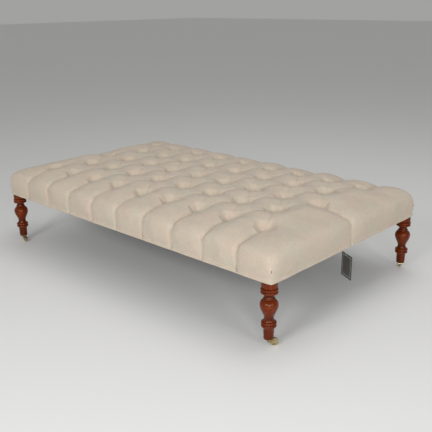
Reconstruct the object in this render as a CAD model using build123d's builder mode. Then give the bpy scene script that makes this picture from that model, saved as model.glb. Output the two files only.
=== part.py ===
from build123d import *
import os

# Ottoman coffee table. Length along X, width along Y, the floor at Z = 0, and the origin on the floor
# under the middle of the table. All sizes are in millimetres.

# Tufting: straight rows of buttons, every second row shifted by half a pitch. The diamonds between
# them are counted from the middle of the table to its last button.
button_pitch = 152.4
row_pitch = 153.8
half_length_diamonds = 4
half_width_diamonds = 1
end_margin = 152.4
side_margin = 154.4
pit_depth = 50

# Cover with its filling, foam and wadding
cover_thickness = 1.5
pad_thickness = 67
crown_drop = 48
foam_thickness = 14
foam_inset = 30
foam_corner = 50
channel_radius = 1.5
wadding_thickness = 3.4
soft_gap = 0.3
hem_width = 34

# Outline of the padded body: how far each level is drawn in from the widest one, its corner radius,
# and its height as a share of the height from the underside to the crest
bottom_draw_in = 10.5
low_draw_in = 2.5
high_draw_in = 5
shoulder_draw_in = 19
crown_draw_in = 50
top_draw_in = 90
bottom_corner = 22
middle_corner = 34
shoulder_corner = 44
top_corner = 60
level_share = (0, 0.19, 0.43, 0.64, 0.82, 1, 1.14)

# Timber frame
rail_thickness = 32
end_rail_depth = 68
rail_inset = 5.8
rail_corner = 28
cross_rail_thickness = 28
cross_rail_drop = 20
cross_rail_clearance = 3
cross_rail_steps = 3.5
corner_block_leg = 62
corner_block_height = 46
corner_block_rise = 6
dowel_radius = 5
dowel_length = 50
dowel_rise = 33
dowel_spacing = 22
wood_clearance = 0.05
cross_screw_radius = 2.5
cross_screw_head_radius = 5
cross_screw_head = 3
cross_screw_length = 76
cross_screw_spacing = 22

# Webbing, hessian, twine and buttons
web_width = 50
web_thickness = 2
web_end_inset = 5
tack_head_radius = 3
tack_head = 0.6
tack_shank_radius = 0.8
tack_length = 12
tack_spacing = 30
hessian_thickness = 1
hessian_inset = 4
hessian_hole_radius = 1.6
button_radius = 10
button_height = 7
button_rim = 2
button_seat = 3
twine_radius = 1
toggle_radius = 8.5
toggle_thickness = 3
toggle_clearance = 0.1
knot_radius = 2.6

# Dust cover and staples
dust_thickness = 0.8
dust_inset = 10
dust_notch = 58
staple_width = 12
staple_wire = 0.9
staple_leg = 8
staple_spacing = 90
staple_inset = 18

# Turned leg, from the foot up: each height is that of one stretch of the turning
leg_inset_x = 32.6
leg_inset_y = 30.6
foot_radius = 16.4
foot_edge = 1.2
foot_top_radius = 17.6
foot_height = 36
foot_cove_height = 5.6
lower_bead_radius = 25.2
lower_bead_projection = 4.7
lower_bead_pitch = 10
waist_radius = 16
waist_rise = 9.4
bulb_foot_radius = 24.6
bulb_foot_rise = 27
bulb_radius = 30
bulb_rise = 21
shoulder_rise = 19.5
collar_radius = 18.4
collar_thickness = 4
collar_projection = 1
neck_radius = 15.5
neck_rise = 8.5
neck_cove_height = 6.9
upper_bead_radius = 28.4
upper_bead_projection = 4.2
upper_bead_pitch = 9
cap_radius = 26.5
cap_cove_height = 4.6
cap_height = 16.7
bolt_radius = 4
bolt_length = 70
bolt_in_leg = 50
bolt_clearance = 0.05
hem_hole_radius = 4.5
insert_radius = 6.5
insert_length = 22

# Castor: a round plate, three screws, and a horn that trails the wheel behind the pivot. Each
# castor's angle is the way its wheel points, from +X.
wheel_diameter = 25.4
wheel_width = 9.6
wheel_rounding = 1.2
axle_radius = 1.6
axle_clearance = 0.05
axle_head_radius = 2.6
axle_head = 0.8
castor_trail = 20
horn_height = 13
horn_disc_radius = 8
horn_disc_thickness = 2
horn_gap = 0.1
horn_neck_radius = 5.6
horn_neck_height = 19
horn_eye_radius = 4.6
horn_cheek = 1.8
cheek_gap = 0.2
wheel_gap = 0.9
pivot_radius = 2.5
pivot_clearance = 0.05
pivot_head_radius = 3.6
pivot_head = 1.6
pivot_well_radius = 4.6
pivot_well_depth = 6
plate_radius = 15.5
plate_thickness = 1.6
plate_edge = 0.5
screw_ring = 10.4
screw_count = 3
screw_radius = 1.3
screw_head_radius = 2.4
screw_head = 1.1
screw_length = 12
castor_angles = {"front_right": 56, "front_left": -9, "back_right": 124, "back_left": 40}

# Blank ticket under the right-hand end, on a nylon loop that hangs from a staple
ticket_inset = 42
ticket_y = 31
ticket_turn = -27.7
ticket_width = 71
ticket_height = 90
ticket_thickness = 1
ticket_corner = 3
eyelet_radius = 2
eyelet_wall = 0.6
eyelet_rim = 1.5
eyelet_rim_thickness = 0.4
eyelet_clearance = 0.05
eyelet_drop = 5
tie_wire = 0.5
tie_bend = 6
tie_length = 50
tie_gap = 0.1
hook_width = 9
hook_drop = 3
hook_wire = 0.6
hook_leg = 8

# How far a cutting shape runs past the faces that it cuts
overrun = 1

# Levels, from the floor up
axle_height = wheel_diameter / 2
horn_top = axle_height + horn_height
plate_bottom = horn_top + horn_gap
leg_bottom = plate_bottom + plate_thickness
lower_bead_bottom = foot_height + foot_cove_height
waist_height = lower_bead_bottom + 2 * lower_bead_pitch + waist_rise
bulb_height = waist_height + bulb_foot_rise + bulb_rise
collar_height = bulb_height + shoulder_rise
neck_height = collar_height + collar_thickness + neck_rise
upper_bead_bottom = neck_height + neck_cove_height
cap_bottom = upper_bead_bottom + 2 * upper_bead_pitch + cap_cove_height
leg_height = cap_bottom + cap_height
underside = leg_bottom + leg_height
frame_bottom = underside + cover_thickness
end_rail_top = frame_bottom + end_rail_depth
long_rail_top = end_rail_top + web_thickness
web_top = long_rail_top + web_thickness
foam_bottom = web_top + hessian_thickness
crest = foam_bottom + pad_thickness
pit_floor = crest - pit_depth

# Extents, half the length or width each
half_pitch = button_pitch / 2
half_rows = 2 * half_width_diamonds
tuft_x = button_pitch * half_length_diamonds
tuft_y = row_pitch * half_rows
body_x = tuft_x + end_margin
body_y = tuft_y + side_margin
hem_x = body_x - bottom_draw_in
hem_y = body_y - bottom_draw_in
rail_x = hem_x - rail_inset
rail_y = hem_y - rail_inset
inner_x = rail_x - rail_thickness
inner_y = rail_y - rail_thickness
leg_x = body_x - leg_inset_x
leg_y = body_y - leg_inset_y
leg_corners = {
    "front_right": (leg_x, -leg_y),
    "front_left": (-leg_x, -leg_y),
    "back_right": (leg_x, leg_y),
    "back_left": (-leg_x, leg_y),
}

os.makedirs("parts", exist_ok=True)


def save(shape, name):
    """Labels a finished piece and writes it under its own name."""
    shape.label = name
    export_step(shape, f"parts/{name}.step")


def upright(x, y, z):
    """A vertical plane through a point, with its own X to the right and its own Y upwards."""
    return Plane(origin=(x, y, z), x_dir=(1, 0, 0), z_dir=(0, -1, 0))


def row_places(row):
    """The buttons of one row that lie at or right of the middle, counting rows from the middle."""
    shift = row % 2
    count = half_length_diamonds + 1 - shift
    return [(n + shift / 2) * button_pitch for n in range(count)]


quarter_buttons = [(x, row * row_pitch) for row in range(half_rows + 1) for x in row_places(row)]
buttons_right = [(x, y * side) for x, y in quarter_buttons for side in (1, -1) if y or side == 1]
all_buttons = [(x * side, y) for x, y in buttons_right for side in (1, -1) if x or side == 1]


# The padded body. Its tufts are worked out in a space where Y is divided by the stretch below. There
# each diamond between four buttons is a square, and each puff is part of a ball, so the creases
# between puffs fall on the diamonds' edges. One quarter is modelled and then mirrored.
stretch = 2 * row_pitch / button_pitch
puff_radius = (half_pitch**2 + pit_depth**2) / (2 * pit_depth)
square_side = button_pitch / 2**0.5
column_foot = underside - overrun
squeezed_y = tuft_y / stretch
squeezed_edge = body_y / stretch

# From the outer buttons to the edge: steps outwards, the depth left in each pleat, how far the crown
# has come down, and how much is left of the crease beyond a corner button. The two borders' drops
# are added at the corner by a power of each.
step_share = (0, 0.22, 0.5, 1)
pleat_share = (1, 0.45, 0.2, 0.1)
drop_share = (0, 0.06, 0.32, 1)
fade_share = (1, 0.3, 0.05, 0)
corner_power = 3


def puff(x, y):
    """One puff, cut to the quarter: a square column under a ball."""
    with BuildPart() as column:
        with BuildSketch(Plane.XY.offset(foam_bottom)):
            with Locations((x, y)):
                Rectangle(square_side, square_side, rotation=45)
            Rectangle(tuft_x, squeezed_y, align=(Align.MIN, Align.MIN), mode=Mode.INTERSECT)
        extrude(amount=pad_thickness + overrun)
        with Locations((x, y, crest - puff_radius)):
            Sphere(puff_radius, mode=Mode.INTERSECT)
    return column.part


def side_border():
    """The pleated strip from the outer row of buttons to the long edge."""
    with BuildPart() as strip:
        for step, pleat, drop in zip(step_share, pleat_share, drop_share):
            high = crest - drop * crown_drop
            low = high - pleat * pit_depth
            with BuildSketch(Plane.XZ.offset(-squeezed_y - step * (squeezed_edge - squeezed_y))):
                with BuildLine():
                    Polyline((0, low), (0, column_foot), (tuft_x, column_foot), (tuft_x, low))
                    for left in row_places(0)[:-1]:
                        right = left + button_pitch
                        ThreePointArc((left, low), (left + half_pitch, high), (right, low))
                make_face()
        loft(ruled=True)
    return strip.part


def end_border():
    """The strip from the last buttons to the short edge, and the corner beyond the corner button."""
    with BuildPart() as strip:
        for step, pleat, drop, fade in zip(step_share, pleat_share, drop_share, fade_share):
            high = crest - drop * crown_drop
            low = high - pleat * pit_depth
            corner = []
            for out, left, down in zip(step_share, pleat_share, drop_share):
                y = squeezed_y + out * (squeezed_edge - squeezed_y)
                both = (drop**corner_power + down**corner_power) ** (1 / corner_power)
                corner.append((y, crest - both * crown_drop - fade * left * pit_depth))
            pleats = [corner[0]] + [(n * button_pitch, low) for n in reversed(range(half_width_diamonds))]
            with BuildSketch(Plane.YZ.offset(tuft_x + step * end_margin)):
                with BuildLine():
                    Polyline(*corner, (squeezed_edge, column_foot), (0, column_foot), (0, low))
                    for outer, inner in zip(pleats, pleats[1:]):
                        ThreePointArc(outer, ((outer[0] + inner[0]) / 2, high), inner)
                make_face()
        loft(ruled=True)
    return strip.part


def tufted_quarter():
    """A quarter of the tufted body, not yet cut to its outline."""
    with BuildPart() as core:
        with BuildSketch(Plane.XY.offset(column_foot)):
            Rectangle(tuft_x, squeezed_y, align=(Align.MIN, Align.MIN))
        extrude(amount=foam_bottom - column_foot)
    pieces = [side_border(), end_border()]
    for row in range(half_rows + 1):
        pieces += [puff(x, row * half_pitch) for x in row_places(row + 1)]
    return scale(core.part.fuse(*pieces), by=(1, stretch, 1)).fix()


def outline_block():
    """The body's outline: drawn in at the bottom, bulging, and rounded at the shoulder."""
    lower = (bottom_draw_in, low_draw_in, 0, high_draw_in)
    draw_ins = (*lower, shoulder_draw_in, crown_draw_in, top_draw_in)
    corners = (bottom_corner, *[middle_corner] * 2, *[shoulder_corner] * 2, *[top_corner] * 2)
    with BuildPart() as block:
        for share, draw_in, corner in zip(level_share, draw_ins, corners):
            with BuildSketch(Plane.XY.offset(underside + share * (crest - underside))):
                RectangleRounded(2 * (body_x - draw_in), 2 * (body_y - draw_in), corner)
        loft()
    return block.part


# The cover and the filling in its puffs are one solid, open below for the frame and the foam
foam_x = rail_x - foam_inset
foam_y = rail_y - foam_inset
wadding_out = wadding_thickness + 2 * soft_gap
with BuildPart() as linen_cover:
    add(tufted_quarter())
    add(outline_block(), mode=Mode.INTERSECT)
    with BuildSketch(Plane.XY.offset(underside - overrun)):
        Rectangle(2 * (hem_x - hem_width), 2 * (hem_y - hem_width))
        with Locations(leg_corners["back_right"]):
            Circle(hem_hole_radius)
    extrude(amount=cover_thickness + 2 * overrun, mode=Mode.SUBTRACT)
    with BuildSketch(Plane.XY.offset(frame_bottom)):
        RectangleRounded(2 * (rail_x + wadding_out), 2 * (rail_y + wadding_out), rail_corner)
    extrude(amount=foam_bottom + soft_gap - frame_bottom, mode=Mode.SUBTRACT)
    with BuildSketch(Plane.XY.offset(foam_bottom)):
        RectangleRounded(2 * (foam_x + soft_gap), 2 * (foam_y + soft_gap), foam_corner)
    extrude(amount=foam_thickness + soft_gap, mode=Mode.SUBTRACT)
    mirror(about=Plane.YZ)
    mirror(about=Plane.XZ)
save(linen_cover.part, "linen_cover")

with BuildPart() as foam_pad:
    with BuildSketch(Plane.XY.offset(foam_bottom)):
        RectangleRounded(2 * foam_x, 2 * foam_y, foam_corner)
        with Locations(*all_buttons):
            Circle(channel_radius, mode=Mode.SUBTRACT)
    extrude(amount=foam_thickness)
save(foam_pad.part, "foam_pad")

with BuildPart() as side_wadding:
    with BuildSketch(Plane.XY.offset(frame_bottom + soft_gap)):
        wadding_x = rail_x + soft_gap + wadding_thickness
        wadding_y = rail_y + soft_gap + wadding_thickness
        RectangleRounded(2 * wadding_x, 2 * wadding_y, rail_corner)
        offset(amount=-wadding_thickness, mode=Mode.SUBTRACT)
    extrude(amount=foam_bottom - frame_bottom - soft_gap)
save(side_wadding.part, "side_wadding")


# Timber frame. The long rails run the whole length and are one web thicker than the end rails are
# deep, so that both layers of webbing lie flat.
cross_x = cross_rail_steps * half_pitch
cross_top = end_rail_top - cross_rail_drop
cross_rail_depth = end_rail_depth - cross_rail_drop - cross_rail_clearance
cross_middle = cross_top - cross_rail_depth / 2
screw_levels = (cross_middle - cross_screw_spacing / 2, cross_middle + cross_screw_spacing / 2)
screw_places = [(x, z) for x in (-cross_x, cross_x) for z in screw_levels]
dowel_x = rail_x - rail_thickness / 2
dowel_levels = (frame_bottom + dowel_rise, frame_bottom + dowel_rise + dowel_spacing)
dowel_places = [(x, z) for x in (-dowel_x, dowel_x) for z in dowel_levels]

with BuildPart() as long_rail:
    with BuildSketch(Plane.XY.offset(frame_bottom)):
        with Locations((0, rail_y)):
            Rectangle(2 * rail_x, rail_thickness, align=(Align.CENTER, Align.MAX))
    extrude(amount=long_rail_top - frame_bottom)
    fillet(long_rail.edges().filter_by(Axis.Z).group_by(Axis.Y)[-1], rail_corner)
    with BuildSketch(Plane.XY.offset(frame_bottom)):
        with Locations((-leg_x, leg_y), (leg_x, leg_y)):
            Circle(insert_radius + wood_clearance)
    extrude(amount=insert_length + wood_clearance, mode=Mode.SUBTRACT)
    with BuildSketch(Plane.XZ.offset(-inner_y)):
        with Locations(*dowel_places):
            Circle(dowel_radius + wood_clearance)
    extrude(amount=-dowel_length / 2 - wood_clearance, mode=Mode.SUBTRACT)
    with BuildSketch(Plane.XZ.offset(-rail_y)):
        with Locations(*screw_places):
            Circle(cross_screw_radius + wood_clearance)
    extrude(amount=rail_thickness, mode=Mode.SUBTRACT)
    with BuildSketch(Plane.XZ.offset(-rail_y)):
        with Locations(*screw_places):
            Circle(cross_screw_head_radius + wood_clearance)
    extrude(amount=cross_screw_head + wood_clearance, mode=Mode.SUBTRACT)
save(long_rail.part.mirror(Plane.XZ), "long_rail_front")
save(long_rail.part, "long_rail_back")

with BuildPart() as end_rail:
    with BuildSketch(Plane.XY.offset(frame_bottom)):
        with Locations((rail_x, 0)):
            Rectangle(rail_thickness, 2 * inner_y, align=(Align.MAX, Align.CENTER))
    extrude(amount=end_rail_depth)
    with BuildSketch(Plane.XZ.offset(-inner_y)):
        with Locations(*[(dowel_x, z) for z in dowel_levels]):
            Circle(dowel_radius + wood_clearance)
    extrude(amount=dowel_length / 2 + wood_clearance, mode=Mode.SUBTRACT)
    with BuildSketch(Plane.XZ.offset(inner_y)):
        with Locations(*[(dowel_x, z) for z in dowel_levels]):
            Circle(dowel_radius + wood_clearance)
    extrude(amount=-dowel_length / 2 - wood_clearance, mode=Mode.SUBTRACT)
save(end_rail.part.mirror(Plane.YZ), "end_rail_left")
save(end_rail.part, "end_rail_right")

with BuildPart() as rail_dowels:
    with BuildSketch(Plane.XZ.offset(-inner_y - dowel_length / 2)):
        with Locations(*dowel_places):
            Circle(dowel_radius)
    extrude(amount=dowel_length)
    mirror(about=Plane.XZ)
save(rail_dowels.part, "rail_dowels")

with BuildPart() as cross_rails:
    with BuildSketch(Plane.XY.offset(cross_top)):
        with Locations((-cross_x, 0), (cross_x, 0)):
            Rectangle(cross_rail_thickness, 2 * inner_y)
    extrude(amount=-cross_rail_depth)
    with BuildSketch(Plane.XZ.offset(-rail_y)):
        with Locations(*screw_places):
            Circle(cross_screw_radius + wood_clearance)
    extrude(amount=cross_screw_length + wood_clearance, mode=Mode.SUBTRACT)
    with BuildSketch(Plane.XZ.offset(rail_y)):
        with Locations(*screw_places):
            Circle(cross_screw_radius + wood_clearance)
    extrude(amount=-cross_screw_length - wood_clearance, mode=Mode.SUBTRACT)
save(cross_rails.part, "cross_rails")

with BuildPart() as cross_rail_screws:
    with BuildSketch(Plane.XZ.offset(-rail_y)):
        with Locations(*screw_places):
            Circle(cross_screw_radius)
    extrude(amount=cross_screw_length)
    with BuildSketch(Plane.XZ.offset(-rail_y)):
        with Locations(*screw_places):
            Circle(cross_screw_head_radius)
    extrude(amount=cross_screw_head)
    mirror(about=Plane.XZ)
save(cross_rail_screws.part, "cross_rail_screws")

with BuildPart() as corner_blocks:
    with BuildSketch(Plane.XY.offset(frame_bottom + corner_block_rise)):
        with BuildLine():
            Polyline(
                (inner_x, inner_y),
                (inner_x - corner_block_leg, inner_y),
                (inner_x, inner_y - corner_block_leg),
                close=True,
            )
        make_face()
    extrude(amount=corner_block_height)
    mirror(about=Plane.YZ)
    mirror(about=Plane.XZ)
save(corner_blocks.part, "corner_blocks")

# Webbing: each band runs between two rows or columns of buttons, so the twines pass beside it
webs_right = 2 * half_length_diamonds + 1
webs_back = 2 * half_rows + 1
web_columns = [(n + 0.5) * half_pitch for n in range(-webs_right, webs_right)]
web_rows = [(n + 0.5) * row_pitch / 2 for n in range(-webs_back, webs_back)]

with BuildPart() as webbing_long:
    with BuildSketch(Plane.XY.offset(end_rail_top)):
        with Locations(*[(0, y) for y in web_rows]):
            Rectangle(2 * (rail_x - web_end_inset), web_width)
    extrude(amount=web_thickness)
save(webbing_long.part, "webbing_long")

with BuildPart() as webbing_cross:
    with BuildSketch(Plane.XY.offset(long_rail_top)):
        with Locations(*[(x, 0) for x in web_columns]):
            Rectangle(web_width, 2 * (rail_y - web_end_inset))
    extrude(amount=web_thickness)
save(webbing_cross.part, "webbing_cross")

tack_offsets = (-tack_spacing / 2, tack_spacing / 2)
tack_rows = [y + dy for y in web_rows for dy in tack_offsets]
end_tacks = [(side * dowel_x, y) for side in (-1, 1) for y in tack_rows]
rail_middle_y = rail_y - rail_thickness / 2
tack_columns = [x + dx for x in web_columns for dx in tack_offsets]
side_tacks = [(x, side * rail_middle_y) for side in (-1, 1) for x in tack_columns]

with BuildPart() as webbing_tacks:
    for top, places in ((end_rail_top + web_thickness, end_tacks), (web_top, side_tacks)):
        with BuildSketch(Plane.XY.offset(top)):
            with Locations(*places):
                Circle(tack_head_radius)
        extrude(amount=-tack_head)
        with BuildSketch(Plane.XY.offset(top)):
            with Locations(*places):
                Circle(tack_shank_radius)
        extrude(amount=-tack_length)
save(webbing_tacks.part, "webbing_tacks")

with BuildPart() as hessian_sheet:
    with BuildSketch(Plane.XY.offset(web_top)):
        RectangleRounded(2 * (rail_x - hessian_inset), 2 * (rail_y - hessian_inset), rail_corner)
        with Locations(*all_buttons):
            Circle(hessian_hole_radius, mode=Mode.SUBTRACT)
    extrude(amount=hessian_thickness)
save(hessian_sheet.part, "hessian_sheet")

# Buttons: each is pulled down to the bottom of its tuft by a twine, which a toggle holds under the
# hessian
button_bottom = pit_floor + button_seat
button_rise = button_height - button_rim
button_dome = (button_radius**2 + button_rise**2) / (2 * button_rise)
button_shoulder = button_height - button_dome + (button_dome**2 - button_radius**2 / 4) ** 0.5
with BuildPart() as button:
    with BuildSketch(upright(0, 0, button_bottom)):
        with BuildLine():
            Polyline((0, button_height), (0, 0), (button_radius, 0), (button_radius, button_rim))
            ThreePointArc(
                (button_radius, button_rim),
                (button_radius / 2, button_shoulder),
                (0, button_height),
            )
        make_face()
    revolve(axis=Axis.Z)

with BuildPart() as buttons:
    with Locations(*all_buttons):
        add(button.part)
save(buttons.part, "buttons")

with BuildPart() as twine_toggles:
    with BuildSketch(Plane.XY.offset(web_top)):
        with Locations(*all_buttons):
            Circle(toggle_radius)
            Circle(twine_radius + toggle_clearance, mode=Mode.SUBTRACT)
    extrude(amount=-toggle_thickness)
save(twine_toggles.part, "twine_toggles")

knot_level = web_top - toggle_thickness - knot_radius
with BuildPart() as button_twine:
    with BuildSketch(Plane.XY.offset(knot_level)):
        with Locations(*all_buttons):
            Circle(twine_radius)
    extrude(amount=button_bottom - knot_level)
    with Locations(*[(x, y, knot_level) for x, y in all_buttons]):
        Sphere(knot_radius)
save(button_twine.part, "button_twine")

# Dust cover: cut away round the legs, and stapled through the hem into the rails
with BuildPart() as dust_cover:
    with BuildSketch(Plane.XY.offset(underside)):
        Rectangle(2 * (hem_x - dust_inset), 2 * (hem_y - dust_inset))
        with Locations(*leg_corners.values()):
            Rectangle(dust_notch, dust_notch, mode=Mode.SUBTRACT)
    extrude(amount=-dust_thickness)
save(dust_cover.part, "dust_cover")

staple_x = hem_x - staple_inset
staple_y = hem_y - staple_inset
along = int((leg_x - dust_notch) // staple_spacing)
across = int((leg_y - dust_notch) // staple_spacing)
staple_columns = [n * staple_spacing for n in range(-along, along + 1)]
staple_rows = [n * staple_spacing for n in range(-across, across + 1)]
side_staples = [(x, side * staple_y) for x in staple_columns for side in (-1, 1)]
end_staples = [(side * staple_x, y) for y in staple_rows for side in (-1, 1)]
staple_bottom = underside - dust_thickness - staple_wire

leg_offset = (staple_width - staple_wire) / 2
with BuildPart() as underside_staples:
    for places, turn, dx, dy in ((side_staples, 0, leg_offset, 0), (end_staples, 90, 0, leg_offset)):
        with BuildSketch(Plane.XY.offset(staple_bottom)):
            with Locations(*places):
                Rectangle(staple_width, staple_wire, rotation=turn)
        extrude(amount=staple_wire)
        with BuildSketch(Plane.XY.offset(staple_bottom)):
            with Locations(*[(x + side * dx, y + side * dy) for x, y in places for side in (-1, 1)]):
                Rectangle(staple_wire, staple_wire)
        extrude(amount=staple_leg)
save(underside_staples.part, "underside_staples")


# Legs, each with its hanger bolt, insert and castor
def bead(bottom, pitch, radius, projection):
    """One half-oval ring of a turned leg's profile, from its lower groove to its upper one."""
    middle = (radius - projection, bottom + pitch / 2)
    EllipticalCenterArc(middle, projection, pitch / 2, start_angle=-90, arc_size=180)


def turned_leg(x, y):
    """A turned leg: foot, double bead, waist, bulb, collar, neck, double bead and cap."""
    lower_neck = lower_bead_radius - lower_bead_projection
    upper_neck = upper_bead_radius - upper_bead_projection
    lower_top = lower_bead_bottom + 2 * lower_bead_pitch
    upper_top = upper_bead_bottom + 2 * upper_bead_pitch
    collar_top = collar_height + collar_thickness
    with BuildPart() as leg:
        with BuildSketch(upright(x, y, leg_bottom)):
            with BuildLine():
                Polyline(
                    (0, 0),
                    (foot_radius - foot_edge, 0),
                    (foot_radius, foot_edge),
                    (foot_top_radius, foot_height),
                    (lower_neck, lower_bead_bottom),
                )
                for n in range(2):
                    bottom = lower_bead_bottom + n * lower_bead_pitch
                    bead(bottom, lower_bead_pitch, lower_bead_radius, lower_bead_projection)
                Spline(
                    (lower_neck, lower_top),
                    (waist_radius, waist_height),
                    (bulb_foot_radius, waist_height + bulb_foot_rise),
                    (bulb_radius, bulb_height),
                    (collar_radius, collar_height),
                )
                ThreePointArc(
                    (collar_radius, collar_height),
                    (collar_radius + collar_projection, collar_height + collar_thickness / 2),
                    (collar_radius, collar_top),
                )
                Spline(
                    (collar_radius, collar_top),
                    (neck_radius, neck_height),
                    (upper_neck, upper_bead_bottom),
                )
                for n in range(2):
                    bottom = upper_bead_bottom + n * upper_bead_pitch
                    bead(bottom, upper_bead_pitch, upper_bead_radius, upper_bead_projection)
                Polyline(
                    (upper_neck, upper_top),
                    (cap_radius, cap_bottom),
                    (cap_radius, leg_height),
                    (0, leg_height),
                    (0, 0),
                )
            make_face()
        revolve(axis=Axis((x, y, 0), (0, 0, 1)))
        with BuildSketch(Plane.XY.offset(underside)):
            with Locations((x, y)):
                Circle(bolt_radius + bolt_clearance)
        extrude(amount=-bolt_in_leg - bolt_clearance, mode=Mode.SUBTRACT)
        with BuildSketch(Plane.XY.offset(leg_bottom)):
            with Locations((x, y)):
                Circle(pivot_well_radius)
        extrude(amount=pivot_well_depth, mode=Mode.SUBTRACT)
        with BuildSketch(Plane.XY.offset(leg_bottom)):
            with Locations((x, y)):
                with PolarLocations(screw_ring, screw_count):
                    Circle(screw_radius + wood_clearance)
        extrude(amount=screw_length, mode=Mode.SUBTRACT)
    return leg.part


def castor_plate(x, y):
    """The round plate under the foot, with a pivot hole and countersunk screw holes."""
    with BuildPart() as plate:
        with BuildSketch(Plane.XY.offset(plate_bottom)):
            with Locations((x, y)):
                Circle(plate_radius)
                Circle(pivot_radius + pivot_clearance, mode=Mode.SUBTRACT)
        extrude(amount=plate_thickness)
        chamfer(plate.faces().sort_by(Axis.Z)[0].outer_wire().edges(), plate_edge)
        for radius, depth in ((screw_radius, plate_thickness), (screw_head_radius, screw_head)):
            with BuildSketch(Plane.XY.offset(plate_bottom)):
                with Locations((x, y)):
                    with PolarLocations(screw_ring, screw_count):
                        Circle(radius + wood_clearance)
            extrude(amount=depth + wood_clearance, mode=Mode.SUBTRACT)
    return plate.part


def castor_screws(x, y):
    """Three screws, their heads let into the plate and their shanks up into the foot."""
    with BuildPart() as screws:
        for radius, length in ((screw_radius, screw_length), (screw_head_radius, screw_head)):
            with BuildSketch(Plane.XY.offset(plate_bottom)):
                with Locations((x, y)):
                    with PolarLocations(screw_ring, screw_count):
                        Circle(radius)
            extrude(amount=length)
    return screws.part


def castor_frame(x, y, angle):
    """A vertical plane through the pivot, whose own X points along the trail."""
    turned = Plane.XY.rotated((0, 0, angle))
    return Plane(origin=(x, y, 0), x_dir=turned.x_dir, z_dir=-turned.y_dir)


def castor_horn(x, y, angle):
    """The swivelling horn: a disc and its pivot, and a neck that forks into two cheeks."""
    side_view = castor_frame(x, y, angle)
    cheek_out = wheel_width / 2 + cheek_gap + horn_cheek
    with BuildPart() as horn:
        with BuildSketch(side_view):
            with Locations((0, horn_neck_height)):
                Circle(horn_neck_radius)
            with Locations((castor_trail, axle_height)):
                Circle(horn_eye_radius)
            make_hull()
        extrude(amount=cheek_out, both=True)
        with BuildSketch(Plane.XY.offset(horn_top)):
            with Locations((x, y)):
                Circle(horn_disc_radius)
        extrude(amount=-horn_disc_thickness)
        with BuildSketch(side_view):
            with Locations((castor_trail, axle_height)):
                Circle(wheel_diameter / 2 + wheel_gap)
        extrude(amount=wheel_width / 2 + cheek_gap, both=True, mode=Mode.SUBTRACT)
        with BuildSketch(side_view):
            with Locations((castor_trail, axle_height)):
                Circle(axle_radius + axle_clearance)
        extrude(amount=2 * cheek_out, both=True, mode=Mode.SUBTRACT)
        with BuildSketch(Plane.XY.offset(horn_top)):
            with Locations((x, y)):
                Circle(pivot_radius)
        extrude(amount=leg_bottom + horn_gap + pivot_head - horn_top)
        with BuildSketch(Plane.XY.offset(leg_bottom + horn_gap)):
            with Locations((x, y)):
                Circle(pivot_head_radius)
        extrude(amount=pivot_head)
    return horn.part


def castor_axle(x, y, angle):
    """The axle pin, headed outside each cheek."""
    side_view = castor_frame(x, y, angle)
    cheek_out = wheel_width / 2 + cheek_gap + horn_cheek
    with BuildPart() as axle:
        with BuildSketch(side_view):
            with Locations((castor_trail, axle_height)):
                Circle(axle_radius)
        extrude(amount=cheek_out + axle_head, both=True)
        for side in (-1, 1):
            with BuildSketch(side_view.offset(side * cheek_out)):
                with Locations((castor_trail, axle_height)):
                    Circle(axle_head_radius)
            extrude(amount=side * axle_head)
    return axle.part


def castor_wheel(x, y, angle):
    """The solid wheel, with rounded rims and a bore for the axle."""
    with BuildPart() as wheel:
        with BuildSketch(castor_frame(x, y, angle)):
            with Locations((castor_trail, axle_height)):
                Circle(wheel_diameter / 2)
        extrude(amount=wheel_width / 2, both=True)
        fillet(wheel.edges().filter_by(GeomType.CIRCLE), wheel_rounding)
        with BuildSketch(castor_frame(x, y, angle)):
            with Locations((castor_trail, axle_height)):
                Circle(axle_radius + axle_clearance)
        extrude(amount=wheel_width, both=True, mode=Mode.SUBTRACT)
    return wheel.part


for corner, (x, y) in leg_corners.items():
    angle = castor_angles[corner]
    save(turned_leg(x, y), f"leg_{corner}")
    save(castor_plate(x, y), f"castor_plate_{corner}")
    save(castor_screws(x, y), f"castor_screws_{corner}")
    save(castor_horn(x, y, angle), f"castor_horn_{corner}")
    save(castor_axle(x, y, angle), f"castor_axle_{corner}")
    save(castor_wheel(x, y, angle), f"castor_wheel_{corner}")

with BuildPart() as leg_bolts:
    with BuildSketch(Plane.XY.offset(underside - bolt_in_leg)):
        with Locations(*leg_corners.values()):
            Circle(bolt_radius)
    extrude(amount=bolt_length)
save(leg_bolts.part, "leg_bolts")

with BuildPart() as leg_inserts:
    with BuildSketch(Plane.XY.offset(frame_bottom)):
        with Locations(*leg_corners.values()):
            Circle(insert_radius)
            Circle(bolt_radius + bolt_clearance, mode=Mode.SUBTRACT)
    extrude(amount=insert_length)
save(leg_inserts.part, "leg_inserts")


# The ticket. A staple in the end rail carries a nylon loop, and the loop's lower bend carries the
# card by its eyelet. The loop stands square to the card.
ticket_x = body_x - ticket_inset
hook_level = underside - dust_thickness - hook_drop
loop_top = hook_level + hook_wire + tie_gap + tie_wire
loop_bottom = loop_top - tie_length
eyelet_level = loop_bottom + tie_wire + tie_gap - eyelet_radius
card_axis = Plane.XY.rotated((0, 0, ticket_turn)).x_dir
card_normal = card_axis.cross(Vector(0, 0, 1))
hanging_line = Vector(ticket_x, ticket_y, 0)
card_view = Plane(origin=hanging_line, x_dir=card_axis, z_dir=card_normal)
loop_view = Plane(origin=hanging_line, x_dir=card_normal, z_dir=-card_axis)

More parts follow.
